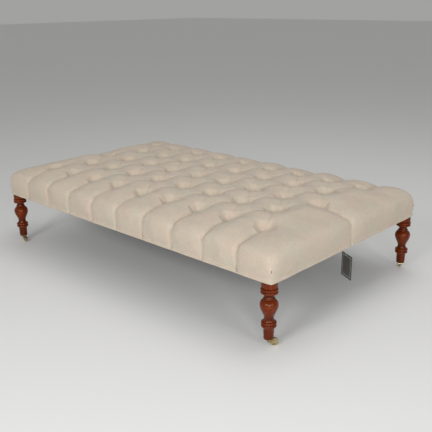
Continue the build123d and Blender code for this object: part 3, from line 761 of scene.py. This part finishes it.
def stretched(add, place, scale, detail, x=1, y=1, z=1):
    """Noise of about 1 / scale metres, longer in the directions whose factor is below 1."""
    drawn_out = mapped(add, place, Scale=(x, y, z))
    noise = add("ShaderNodeTexNoise", {"Vector": drawn_out, "Scale": scale, "Detail": detail})
    return noise.outputs["Fac"]


def math(add, operation, first, second):
    """The result of a sum on one or two sockets or numbers."""
    return add("ShaderNodeMath", {0: first, 1: second}, operation=operation).outputs["Value"]


def spread(add, value, low, high, start=0.0, end=1.0):
    """Turns the range from low to high into the range from start to end."""
    return add("ShaderNodeMapRange", {0: value, 1: low, 2: high, 3: start, 4: end}).outputs["Result"]


def blend(add, share, first, second, kind="MIX"):
    """A colour between the first and the second, by a share from 0 to 1."""
    inputs = {0: share, 6: first, 7: second}
    return add("ShaderNodeMix", inputs, data_type="RGBA", blend_type=kind).outputs[2]


def bands(add, place, spacing, direction):
    """Soft stripes across a direction: a sine wave with one crest for each thread."""
    inputs = {"Vector": place, "Scale": band_spacing / spacing}
    return add("ShaderNodeTexWave", inputs, bands_direction=direction).outputs["Fac"]


def finish_surface(tree, shader, add, colour, roughness, height, depth):
    """Joins the colour, roughness and bump of a surface to its shader."""
    tree.links.new(colour, shader.inputs["Base Color"])
    tree.links.new(roughness, shader.inputs["Roughness"])
    bump = add("ShaderNodeBump", {"Height": height, "Strength": bump_strength, "Distance": depth})
    tree.links.new(bump.outputs["Normal"], shader.inputs["Normal"])


def dress(names, material):
    """Gives CAD nodes their finish."""
    for name in names:
        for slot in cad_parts[name].material_slots:
            slot.material = material


print("at scale 1 the bands of a wave texture lie", round(band_spacing, 3), "apart")

# %% [markdown]
# Cloth is threads that go over and under each other. Close up, each crossing is a small bump, and no
# thread is equally thick all the way, so plain cloth shows faint streaks both ways. One helper makes
# every woven cloth of the table, because linen, jute, hessian and cambric differ only in the size,
# colour and sheen of their threads. Two waves that cross give the weave, and noise drawn out along the
# warp and the weft gives the streaks.

# %% Woven cloth
streak_length = 16
fine_noise, broad_noise = 1.3, 0.45
thread_tones = (1.5, 2.5)
mottling_scale = 11
mottling_range = (0.35, 0.65)
gap_range = (0.0, 0.5)
shadow_between_threads = 0.25
cloth_roughness = (0.95, 0.8)
sheen_roughness = 0.5


def woven(name, thread, light, dark, tints, sheen, on_map=False):
    """A plain weave with threads of one size, on the cloth's own map or on Object coordinates."""
    material, tree, shader, add = new_material(name)
    place = add("ShaderNodeUVMap", uv_map="cloth").outputs["UV"] if on_map else object_place(add)
    short = 1 / streak_length
    fine, broad = fine_noise / thread, broad_noise / thread
    warp = (stretched(add, place, fine, detail=2, y=short), stretched(add, place, broad, detail=1, y=short))
    weft = (stretched(add, place, fine, detail=2, x=short), stretched(add, place, broad, detail=1, x=short))
    threads = math(add, "ADD", math(add, "ADD", *warp), math(add, "ADD", *weft))
    crossings = math(add, "MULTIPLY", bands(add, place, thread, "X"), bands(add, place, thread, "Y"))
    cloth = blend(add, spread(add, threads, *thread_tones), dark, light)
    mottling = spread(add, stretched(add, place, mottling_scale, detail=2), *mottling_range)
    tinted = blend(add, 1.0, cloth, blend(add, mottling, *tints), "MULTIPLY")
    gaps = spread(add, crossings, *gap_range, shadow_between_threads, 0.0)
    shaded = blend(add, gaps, tinted, dark)
    height = math(add, "ADD", crossings, threads)
    roughness = spread(add, threads, *thread_tones, *cloth_roughness)
    finish_surface(tree, shader, add, shaded, roughness, height, thread / 2)
    shader.inputs["Sheen Weight"].default_value = sheen
    shader.inputs["Sheen Roughness"].default_value = sheen_roughness
    return material


print("streaks", streak_length, "times as long as wide")

# %% [markdown]
# Natural linen is flax in its own oatmeal colour, with slubs, which are the places where a thread is
# thicker. The cover reads the map of the flat cloth, so its weave follows every fold. The buttons
# are covered with an offcut of the same cloth, so their weave runs on Object coordinates. So does
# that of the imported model's own cover, which the new one stands in for.

# %% Linen
linen_thread = 0.0009
linen_light = (0.645, 0.560, 0.470, 1)
linen_dark = (0.500, 0.420, 0.335, 1)
linen_tints = ((1.0, 0.950, 0.925, 1), (0.950, 0.985, 0.945, 1))
linen_sheen = 0.15

linen = woven("linen", linen_thread, linen_light, linen_dark, linen_tints, linen_sheen, on_map=True)
cover.data.materials.append(linen)
offcut = woven("button_linen", linen_thread, linen_light, linen_dark, linen_tints, linen_sheen)
dress(["buttons", "linen_cover"], offcut)
print("linen of", round(1 / linen_thread), "threads to the metre")

# %% [markdown]
# The upholsterer folds the cloth together at each corner and closes the fold at the hem with one
# dark stitch. Its thread shows as a short upright mark just above the roll. It could be painted on in
# the material, but a real thread stands proud and catches light, so each is a tube along a low arch.

# %% Corner stitches
stitch_radius = 0.0009
stitch_length = 0.011
stitch_rise = 0.0390
stitch_depth = 0.0004
stitch_sides = 10
stitch_steps = 9
arch_power = 4
stitch_corners = [(side_x, side_y) for side_x in (-1, 1) for side_y in (-1, 1)]


def corner_surface(side_x, side_y, level):
    """The point of the cover's corner at a level, and the way out from it."""
    middle = int(np.argmax(leaving @ np.array((side_x, side_y))))
    line = np.column_stack([ring_x[:, middle], ring_y[:, middle], ring_z[:, middle]])
    lower = line[rings // 2:]
    order = np.argsort(lower[:, 2])
    x, y = (np.interp(level, lower[order, 2], lower[order, k]) for k in range(2))
    return np.column_stack([x, y, level]), leaving[middle]


def stitch_tube(side_x, side_y):
    """A short thread that goes in at both ends: circles round an arch.

    The arch lies out from the cloth by the stitch's depth less (2 share - 1)^4 thread widths, so it is
    flat in the middle and goes under the cloth at its ends.
    """
    share = np.linspace(0, 1, stitch_steps)
    level = cover_low[2] + stitch_rise + stitch_length * share
    middle, way = corner_surface(side_x, side_y, level)
    arch = stitch_depth - 2 * stitch_radius * (2 * share - 1) ** arch_power
    middle[:, :2] += arch[:, None] * way
    turn = np.linspace(0, 2 * np.pi, stitch_sides, endpoint=False)
    across = np.array((-way[1], way[0]))
    ring = stitch_radius * (np.cos(turn)[:, None] * across + np.sin(turn)[:, None] * way)
    points = middle[:, None, :].repeat(stitch_sides, axis=1)
    points[..., :2] += ring
    return points.reshape(-1, 3)


stitch_points = np.vstack([stitch_tube(*corner) for corner in stitch_corners])
stitch_size = stitch_steps * stitch_sides
stitch_starts = np.arange(len(stitch_corners)) * stitch_size
stitch_walls = [ring_faces(stitch_steps, stitch_sides, first) for first in stitch_starts]
end_ring = np.arange(stitch_sides)
near_ends = stitch_starts[:, None] + end_ring
far_ends = stitch_starts[:, None] + stitch_size - 1 - end_ring
stitches = mesh_object("corner_stitches", stitch_points, *stitch_walls, near_ends, far_ends)
outward = bmesh.new()
outward.from_mesh(stitches.data)
bmesh.ops.recalc_face_normals(outward, faces=outward.faces)
outward.to_mesh(stitches.data)
outward.free()
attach(stitches, "root")
print("corner stitches", len(stitches.data.polygons), "faces")

# %% [markdown]
# The cloth that closes the underside is black cambric, cut away round the legs and pulled tight
# between its staples. Tight cloth still sags a little in the middle and puckers between the staples.
# The staple that the card hangs from pins it too, so it lies flat round that one. A simulation would
# take a while to find the same few millimetres, so the heights are a formula on a flat grid: powers
# of the distance from the edges for the sag, and a cosine along each edge for the puckers.

# %% How the dust cover hangs
dust_low, dust_high = (np.array(corner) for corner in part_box("dust_cover"))
dust_notch = 0.058
dust_sag = 0.003
sag_power = 0.6
pucker_height = 0.0005
pucker_reach = 0.020
staple_spacing = 0.090
staple_margin = 0.008
pin_reach = 0.018
notch_cells = 8
middle_cells = (180, 100)


def notched_lines(half, cells):
    """Lines across one direction of the sheet, with one on each edge of the notches."""
    edge = np.linspace(half - dust_notch, half, notch_cells + 1)
    middle = np.linspace(-(half - dust_notch), half - dust_notch, cells + 1)
    return np.concatenate([-edge[:0:-1], middle, edge[1:]])


dust_x, dust_y = np.meshgrid(
    notched_lines(dust_high[0], middle_cells[0]), notched_lines(dust_high[1], middle_cells[1]), indexing="ij"
)
from_end = np.clip(dust_high[0] - staple_margin - np.abs(dust_x), 0, None)
from_side = np.clip(dust_high[1] - staple_margin - np.abs(dust_y), 0, None)
sag = dust_sag * (from_end / dust_high[0]) ** sag_power * (from_side / dust_high[1]) ** sag_power
side_pucker = (1 - np.cos(2 * np.pi * dust_x / staple_spacing)) * np.exp(-from_side / pucker_reach)
end_pucker = (1 - np.cos(2 * np.pi * dust_y / staple_spacing)) * np.exp(-from_end / pucker_reach)
pucker = pucker_height * (side_pucker * (from_side > 0) + end_pucker * (from_end > 0)) / 2
pinned_low, pinned_high = (np.array(corner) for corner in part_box("ticket_staple"))
pinned_x, pinned_y, _ = (pinned_low + pinned_high) / 2
from_pin = np.hypot(dust_x - pinned_x, dust_y - pinned_y)
dust_z = dust_low[2] - (sag + pucker) * np.clip((from_pin - pin_reach) / pin_reach, 0, 1)
print("the dust cover hangs down", round(float(dust_low[2] - dust_z.min()), 4), "m")

# %% [markdown]
# At each corner a notch leaves room for the leg. The cells of the grid that lie in a notch are left
# out, and then the points that no cell uses. Cambric is thin but not without thickness, and a
# Solidify modifier adds that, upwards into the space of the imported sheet.

# %% The dust cover
dust_index = np.arange(dust_x.size).reshape(dust_x.shape)
cells_x, cells_y = (side - 1 for side in dust_x.shape)
kept = np.ones((cells_x, cells_y), bool)
for x_cells in (slice(0, notch_cells), slice(cells_x - notch_cells, cells_x)):
    for y_cells in (slice(0, notch_cells), slice(cells_y - notch_cells, cells_y)):
        kept[x_cells, y_cells] = False
cell_corners = (dust_index[:-1, :-1], dust_index[:-1, 1:], dust_index[1:, 1:], dust_index[1:, :-1])
dust_faces = np.stack(cell_corners, axis=-1)[kept]
used, dust_faces = np.unique(dust_faces, return_inverse=True)
dust_points = np.stack([dust_x, dust_y, dust_z], axis=-1).reshape(-1, 3)[used]
dust_sheet = mesh_object("cambric_sheet", dust_points, dust_faces.reshape(-1, 4))
thickness = dust_sheet.modifiers.new("thickness", "SOLIDIFY")
thickness.thickness = dust_high[2] - dust_low[2]
thickness.offset = -1

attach(dust_sheet, "root")
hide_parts("dust_cover")

# %% [markdown]
# Cambric is a fine, close cotton, so its weave shows only close up. It is the same weave as the
# linen's, with thinner and nearly black threads.

# %% Cambric
cambric_thread = 0.0005
cambric_light = (0.026, 0.026, 0.028, 1)
cambric_dark = (0.010, 0.010, 0.011, 1)
cambric_tints = ((1.0, 1.0, 1.0, 1), (0.75, 0.75, 0.78, 1))
dry_sheen = 0.1

cambric = woven("black_cambric", cambric_thread, cambric_light, cambric_dark, cambric_tints, dry_sheen)
dust_sheet.data.materials.append(cambric)
dress(["dust_cover"], cambric)
print("cambric of", round(1 / cambric_thread), "threads to the metre")

# %% [markdown]
# Twine isn't woven but laid: its strands run at a slant round each other. Each strand could be a tube of its
# own, but at a millimetre across slanting stripes in the bump look the same, with painted shade darkening
# the colour between the strands. The wax shows as smoother and rougher places.

# %% Twine
twine_light = (0.74, 0.68, 0.55, 1)
twine_dark = (0.42, 0.36, 0.26, 1)
stitch_light = (0.060, 0.040, 0.028, 1)
stitch_dark = (0.020, 0.012, 0.008, 1)
strand = 0.0011
fuzz_scale = 2600
wax_roughness = (0.75, 0.5)


def laid_twine(name, light, dark):
    """Strands laid at a slant round an upright line, with fuzz, wax and painted shade between the strands.
    """
    material, tree, shader, add = new_material(name)
    place = object_place(add)
    strands = bands(add, place, strand, "DIAGONAL")
    fuzz = stretched(add, place, fuzz_scale, detail=3)
    # The colour is darker between the strands, painted shade in the grooves, and the fuzz varies the tone.
    colour = blend(add, math(add, "MULTIPLY", strands, fuzz), dark, light)
    height = math(add, "ADD", strands, fuzz)
    roughness = spread(add, fuzz, *noise_middle, *wax_roughness)
    finish_surface(tree, shader, add, colour, roughness, height, strand / 4)
    return material


dress(["button_twine"], laid_twine("waxed_twine", twine_light, twine_dark))
stitches.data.materials.append(laid_twine("dark_stitch_thread", stitch_light, stitch_dark))
print("strands about", strand, "m wide")

# %% [markdown]
# The tie of the card is drawn nylon: one smooth thread that lets a little light through. A weak
# transmission does that without making it look like glass, and faint clouds make it look handled.

# %% Nylon
nylon_clear = (0.86, 0.87, 0.86, 1)
nylon_worn = (0.72, 0.71, 0.67, 1)
nylon_cloud_scale = 700
nylon_roughness = (0.18, 0.4)
nylon_relief = 0.00005
light_through = 0.12


def drawn_nylon():
    """A smooth, slightly clear thread with faint clouds."""
    material, tree, shader, add = new_material("clear_nylon")
    clouding = stretched(add, object_place(add), nylon_cloud_scale, detail=3)
    colour = blend(add, clouding, nylon_clear, nylon_worn)
    roughness = spread(add, clouding, *noise_middle, *nylon_roughness)
    finish_surface(tree, shader, add, colour, roughness, clouding, nylon_relief)
    shader.inputs["Transmission Weight"].default_value = light_through
    return material


dress(["ticket_tie"], drawn_nylon())
print("nylon lets", light_through, "of the light through")

# %% [markdown]
# Mahogany is red-brown with a straight grain and open pores, which show as fine dark dashes. Wood is
# a solid pattern, so noise drawn out along the leg is cut by the turned shape just as the real grain
# is, with nothing to unwrap. Each leg is turned from its own square of wood, so each has its own
# middle and its own piece of the pattern.

# %% Mahogany
mahogany_dark = (0.034, 0.0040, 0.0008, 1)
mahogany_red = (0.112, 0.0120, 0.0006, 1)
mahogany_light = (0.212, 0.0300, 0.0012, 1)
ring_spacing = 0.0045
grain_stretch = 0.05
pore_stretch = 0.035
cloud_stretch = 0.4
streak_scale, pore_scale, cloud_scale = 420, 2400, 26
streak_range, pore_range, cloud_range = (0.32, 0.68), (0.60, 0.72), (0.40, 0.75)
figure_distortion, figure_detail, figure_detail_scale = 5.0, 3.0, 0.8
figure_share, cloud_share, pore_share = 0.42, 0.40, 0.75
leg_shift = 0.37


def mahogany_wood(add, piece):
    """The colour of bare mahogany, with its streaks and its pores."""
    planks = mapped(add, piece, Scale=(1, 1, grain_stretch))
    figure_inputs = {
        "Vector": planks,
        "Scale": band_spacing / ring_spacing,
        "Distortion": figure_distortion,
        "Detail": figure_detail,
        "Detail Scale": figure_detail_scale,
    }
    figure = add("ShaderNodeTexWave", figure_inputs, bands_direction="X").outputs["Fac"]
    streaks = stretched(add, piece, streak_scale, detail=4, z=grain_stretch)
    pores = spread(add, stretched(add, piece, pore_scale, detail=1, z=pore_stretch), *pore_range)
    clouds = stretched(add, piece, cloud_scale, detail=2, z=cloud_stretch)

    wood = blend(add, spread(add, streaks, *streak_range), mahogany_red, mahogany_light)
    wood = blend(add, spread(add, figure, 0.0, 1.0, figure_share, 0.0), wood, mahogany_dark)
    wood = blend(add, spread(add, clouds, *cloud_range, 0.0, cloud_share), wood, mahogany_dark)
    wood = blend(add, math(add, "MULTIPLY", pores, pore_share), wood, mahogany_dark)
    return wood, streaks, pores


print("grain drawn out", round(1 / grain_stretch), "times")

# %% [markdown]
# French polish fills the pores and lies on top, which the shader's clear coat does. It thins where
# things brush the beads and the bulb, and darkens in the hollows. Painting that by hand would have to
# be done again for each leg, but on a turned leg the distance from the axis already tells the proud
# places from the hollow ones.

# %% French polish
mahogany_worn = (0.290, 0.0600, 0.0080, 1)
polish_tint = (1.0, 0.60, 0.38, 1)
proud_radius = (0.0245, 0.0300)
hollow_radius = (0.0158, 0.0185)
brush_scale, brush_range = 90, (0.42, 0.66)
worn_share, hollow_share = 0.30, 0.5
polish_roughness = (0.20, 0.36)
pore_roughness = 0.15
pore_relief = 0.00006
coat_weight, coat_roughness = 0.32, 0.11
polish_reflection = 0.12


def mahogany(name, centre, number):
    """French-polished mahogany round an upright axis."""
    material, tree, shader, add = new_material(name)
    centred = mapped(add, object_place(add), Location=(-centre[0], -centre[1], 0))
    own = (leg_shift * number, leg_shift * number / 2, leg_shift * number)
    piece = mapped(add, centred, Location=own)
    wood, streaks, pores = mahogany_wood(add, piece)

    flat = mapped(add, centred, Scale=(1, 1, 0))
    distance = add("ShaderNodeVectorMath", {0: flat}, operation="LENGTH").outputs["Value"]
    brushed = stretched(add, piece, brush_scale, detail=3)
    handled = spread(add, brushed, *brush_range)
    proud = math(add, "MULTIPLY", spread(add, distance, *proud_radius), handled)
    wood = blend(add, math(add, "MULTIPLY", proud, worn_share), wood, mahogany_worn)
    wood = blend(add, spread(add, distance, *hollow_radius, hollow_share, 0.0), wood, mahogany_dark)

    smooth = spread(add, brushed, *noise_middle, *polish_roughness)
    rough = math(add, "ADD", smooth, math(add, "MULTIPLY", pores, pore_roughness))
    finish_surface(tree, shader, add, wood, rough, math(add, "SUBTRACT", streaks, pores), pore_relief)
    shader.inputs["Coat Weight"].default_value = coat_weight
    shader.inputs["Coat Roughness"].default_value = coat_roughness
    shader.inputs["Specular IOR Level"].default_value = polish_reflection
    shader.inputs["Specular Tint"].default_value = polish_tint
    return material


legs = [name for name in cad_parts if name.startswith("leg_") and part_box(name)[0][2] < hem_level / 2]
for number, leg in enumerate(legs):
    leg_low, leg_high = (Vector(corner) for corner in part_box(leg))
    dress([leg], mahogany(leg + "_mahogany", (leg_low + leg_high) / 2, number))
print("polished", legs)

# %% [markdown]
# The frame inside is planed beech: pale, with a straight fine grain and short brown flecks along it.
# It is the mahogany's idea with other numbers. The grain of each piece runs along its length, and
# that differs from rail to rail, so the direction of the stretch is a choice.

# %% Beech
beech_light = (0.60, 0.42, 0.26, 1)
beech_dark = (0.40, 0.25, 0.14, 1)
beech_fleck = (0.26, 0.14, 0.07, 1)
beech_stretch, fleck_stretch = 0.045, 0.15
beech_grain_scale, beech_broad_scale, fleck_scale = 520, 60, 1500
fleck_range = (0.64, 0.70)
fleck_share, grain_floor = 0.6, 0.4
beech_roughness = (0.5, 0.75)
beech_relief = 0.0001
grain_along = ["long_rail_front", "long_rail_back"]
grain_across = ["end_rail_left", "end_rail_right", "cross_rails", "rail_dowels", "corner_blocks"]


def beech(name, axis):
    """Planed beech with its grain along one axis."""
    material, tree, shader, add = new_material(name)
    place = object_place(add)
    grain = stretched(add, place, beech_grain_scale, detail=4, **{axis: beech_stretch})
    broad = stretched(add, place, beech_broad_scale, detail=2, **{axis: beech_stretch})
    flecks = spread(add, stretched(add, place, fleck_scale, detail=1, **{axis: fleck_stretch}), *fleck_range)
    dark = math(add, "MULTIPLY", grain, math(add, "ADD", broad, grain_floor))
    wood = blend(add, dark, beech_light, beech_dark)
    wood = blend(add, math(add, "MULTIPLY", flecks, fleck_share), wood, beech_fleck)
    roughness = spread(add, grain, *noise_middle, *beech_roughness)
    finish_surface(tree, shader, add, wood, roughness, grain, beech_relief)
    return material


dress(grain_along, beech("beech_along", "x"))
dress(grain_across, beech("beech_across", "y"))
dress(["twine_toggles"], beech("beech_toggles", "x"))
print("beech in", len(grain_along) + len(grain_across) + 1, "nodes")

# %% [markdown]
# Brass that is handled now and then keeps its shine on the open faces and turns brown in patches.
# Steel screws have a thin dull zinc coat. Both are metals, so one function makes both: noise picks
# the tarnished patches and spots, and two more, drawn out both ways, are fine scratches. Those catch
# the light and make the surface look used.

# %% Brass and steel
brass_bright = (0.56, 0.45, 0.23, 1)
brass_tarnished = (0.13, 0.085, 0.038, 1)
steel_bright = (0.56, 0.57, 0.58, 1)
steel_dull = (0.30, 0.31, 0.33, 1)
brass_patch, steel_patch = 0.012, 0.006
brass_polish, steel_polish = 0.16, 0.30
tarnish_range, spot_range = (0.42, 0.68), (0.55, 0.72)
spots_per_patch = 9
tarnish_share, spot_share, scratch_share = 0.75, 0.5, 0.2
dull_rise = 0.28
scratch_scale, scratch_stretch = 5200, 0.08
scratch_relief = 0.00003
castor_parts = ("castor_plate", "castor_screws", "castor_horn", "castor_wheel")


def metal(name, bright, dull, patch, polish):
    """Metal with patches of tarnish, about one to each patch length, and fine scratches."""
    material, tree, shader, add = new_material(name)
    place = object_place(add)
    tarnish = spread(add, stretched(add, place, 1 / patch, detail=4), *tarnish_range)
    spots = spread(add, stretched(add, place, spots_per_patch / patch, detail=2), *spot_range)
    scratches = stretched(add, place, scratch_scale, detail=2, x=scratch_stretch)
    crossing = stretched(add, place, scratch_scale, detail=2, y=scratch_stretch)
    marks = math(add, "MULTIPLY", scratches, crossing)
    brown = math(add, "MULTIPLY", tarnish, tarnish_share)
    stain = math(add, "MAXIMUM", brown, math(add, "MULTIPLY", spots, spot_share))
    colour = blend(add, stain, bright, dull)
    dulled = spread(add, stain, 0.0, 1.0, polish, polish + dull_rise)
    rough = math(add, "ADD", dulled, math(add, "MULTIPLY", marks, scratch_share))
    finish_surface(tree, shader, add, colour, rough, marks, scratch_relief)
    shader.inputs["Metallic"].default_value = 1.0
    return material


brass = metal("aged_brass", brass_bright, brass_tarnished, brass_patch, brass_polish)
steel = metal("zinc_steel", steel_bright, steel_dull, steel_patch, steel_polish)
brass_nodes = [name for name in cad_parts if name.startswith(castor_parts)] + ["ticket_eyelet"]
dress(brass_nodes, brass)
dress([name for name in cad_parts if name.startswith("castor_axle")], steel)
dress(["cross_rail_screws", "leg_bolts", "leg_inserts", "webbing_tacks"], steel)
dress(["underside_staples", "ticket_staple"], steel)
print("brass on", len(brass_nodes), "nodes")

# %% [markdown]
# Inside the seat, the jute webbing and the hessian over it are coarse plant cloths. They are woven as
# the linen is, only with threads of about two millimetres, so the same helper makes them.

# %% Webbing and hessian
jute_thread, hessian_thread = 0.0021, 0.0019
jute_light, jute_dark = (0.50, 0.37, 0.22, 1), (0.26, 0.17, 0.09, 1)
hessian_light, hessian_dark = (0.52, 0.40, 0.25, 1), (0.22, 0.15, 0.08, 1)
plant_tints = ((1.0, 0.97, 0.92, 1), (0.92, 0.90, 0.86, 1))

jute = woven("jute", jute_thread, jute_light, jute_dark, plant_tints, dry_sheen)
hessian = woven("hessian", hessian_thread, hessian_light, hessian_dark, plant_tints, dry_sheen)
dress(["webbing_long", "webbing_cross"], jute)
dress(["hessian_sheet"], hessian)
print("jute threads", jute_thread, "m wide")

# %% [markdown]
# Foam is full of small round cells. A Voronoi texture is made for that: it splits space into cells, and the
# colour is darkened towards the middle of each, a painted shade that makes it look hollow. The wadding round
# the rails is teased fibre, for which noise drawn out one way gives the hairs, and a coarser one the tufts.

# %% Foam and wadding
foam_light, foam_pore_shade = (0.82, 0.76, 0.56, 1), (0.60, 0.52, 0.34, 1)
foam_cell_scale = 900
foam_cell_range = (0.0, 0.7)
foam_roughness = (0.95, 0.85)
foam_relief = 0.0006
fibre_light, fibre_dark = (0.84, 0.83, 0.79, 1), (0.66, 0.64, 0.59, 1)
fibre_tuft_scale, hair_scale, hair_stretch = 60, 1400, 0.2
fibre_roughness = (0.9, 1.0)
fibre_relief = 0.002


def open_foam():
    """Foam with round cells, darker in the middle of each by painted shade."""
    material, tree, shader, add = new_material("foam")
    voronoi = add("ShaderNodeTexVoronoi", {"Vector": object_place(add), "Scale": foam_cell_scale})
    cells = voronoi.outputs["Distance"]
    # Painted shade: the middle of each cell is darkened towards the pore shade colour.
    colour = blend(add, spread(add, cells, *foam_cell_range), foam_pore_shade, foam_light)
    roughness = spread(add, cells, *foam_cell_range, *foam_roughness)
    finish_surface(tree, shader, add, colour, roughness, cells, foam_relief)
    return material


def teased_wadding():
    """Loose fibres in soft tufts."""
    material, tree, shader, add = new_material("wadding")
    tufts = stretched(add, object_place(add), fibre_tuft_scale, detail=6)
    hairs = stretched(add, object_place(add), hair_scale, detail=3, z=hair_stretch)
    colour = blend(add, math(add, "MULTIPLY", tufts, hairs), fibre_light, fibre_dark)
    roughness = spread(add, hairs, 0.0, 1.0, *fibre_roughness)
    finish_surface(tree, shader, add, colour, roughness, math(add, "ADD", tufts, hairs), fibre_relief)
    return material


dress(["foam_pad"], open_foam())
dress(["side_wadding"], teased_wadding())
print("foam cells about", round(1 / foam_cell_scale, 4), "m")

# %% [markdown]
# A card hangs from the frame. It is printed with plain areas only: a dark green edge, a pale frame
# and a dull grey panel. Each area could be a thin face of its own, but ink has no thickness, so the
# material paints them. For that it needs the card's own directions, and a Mapping node brings the
# card's middle to the origin and turns it square. The distance from the edge then picks the colour.

# %% The card
card_turn = radians(-27.7)
card_width, card_height = 0.071, 0.090
edge_width, frame_width = 0.0048, 0.0046
card_pale = (0.34, 0.37, 0.31, 1)
card_shade = (0.22, 0.24, 0.20, 1)
card_green = (0.012, 0.028, 0.019, 1)
card_panel = (0.085, 0.070, 0.068, 1)
paper_scale, speckle_scale = 2100, 120
ink_range, thinnest_ink = (0.25, 0.75), 0.86
card_roughness = (0.45, 0.65)
paper_relief = 0.00005
card_low, card_high = (Vector(corner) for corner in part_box("ticket_card"))
card_middle = (card_low + card_high) / 2


def from_card_edge(add, own):
    """The distance in from the card's nearest edge, from its own sideways and upward places."""
    parts = add("ShaderNodeSeparateXYZ", {"Vector": own})
    over_side = math(add, "SUBTRACT", math(add, "ABSOLUTE", parts.outputs["X"], 0), card_width / 2)
    over_end = math(add, "SUBTRACT", math(add, "ABSOLUTE", parts.outputs["Z"], 0), card_height / 2)
    return math(add, "MULTIPLY", math(add, "MAXIMUM", over_side, over_end), -1)


def printed_card():
    """Pale card with a dark edge and a grey panel, and a little paper showing through the ink."""
    material, tree, shader, add = new_material("printed_card")
    own_inputs = {"Vector": object_place(add), "Location": card_middle, "Rotation": (0, 0, card_turn)}
    own = add("ShaderNodeMapping", own_inputs, vector_type="TEXTURE").outputs["Vector"]
    from_edge = from_card_edge(add, own)
    on_edge = math(add, "LESS_THAN", from_edge, edge_width)
    on_panel = math(add, "GREATER_THAN", from_edge, edge_width + frame_width)
    paper = stretched(add, own, paper_scale, detail=4)
    speckle = stretched(add, own, speckle_scale, detail=3)
    ink = spread(add, paper, *ink_range, 1.0, thinnest_ink)
    colour = blend(add, math(add, "MULTIPLY", paper, speckle), card_pale, card_shade)
    colour = blend(add, math(add, "MULTIPLY", on_panel, ink), colour, card_panel)
    colour = blend(add, math(add, "MULTIPLY", on_edge, ink), colour, card_green)
    roughness = spread(add, paper, *noise_middle, *card_roughness)
    finish_surface(tree, shader, add, colour, roughness, paper, paper_relief)
    return material


dress(["ticket_card"], printed_card())
print("card", card_width, "x", card_height)
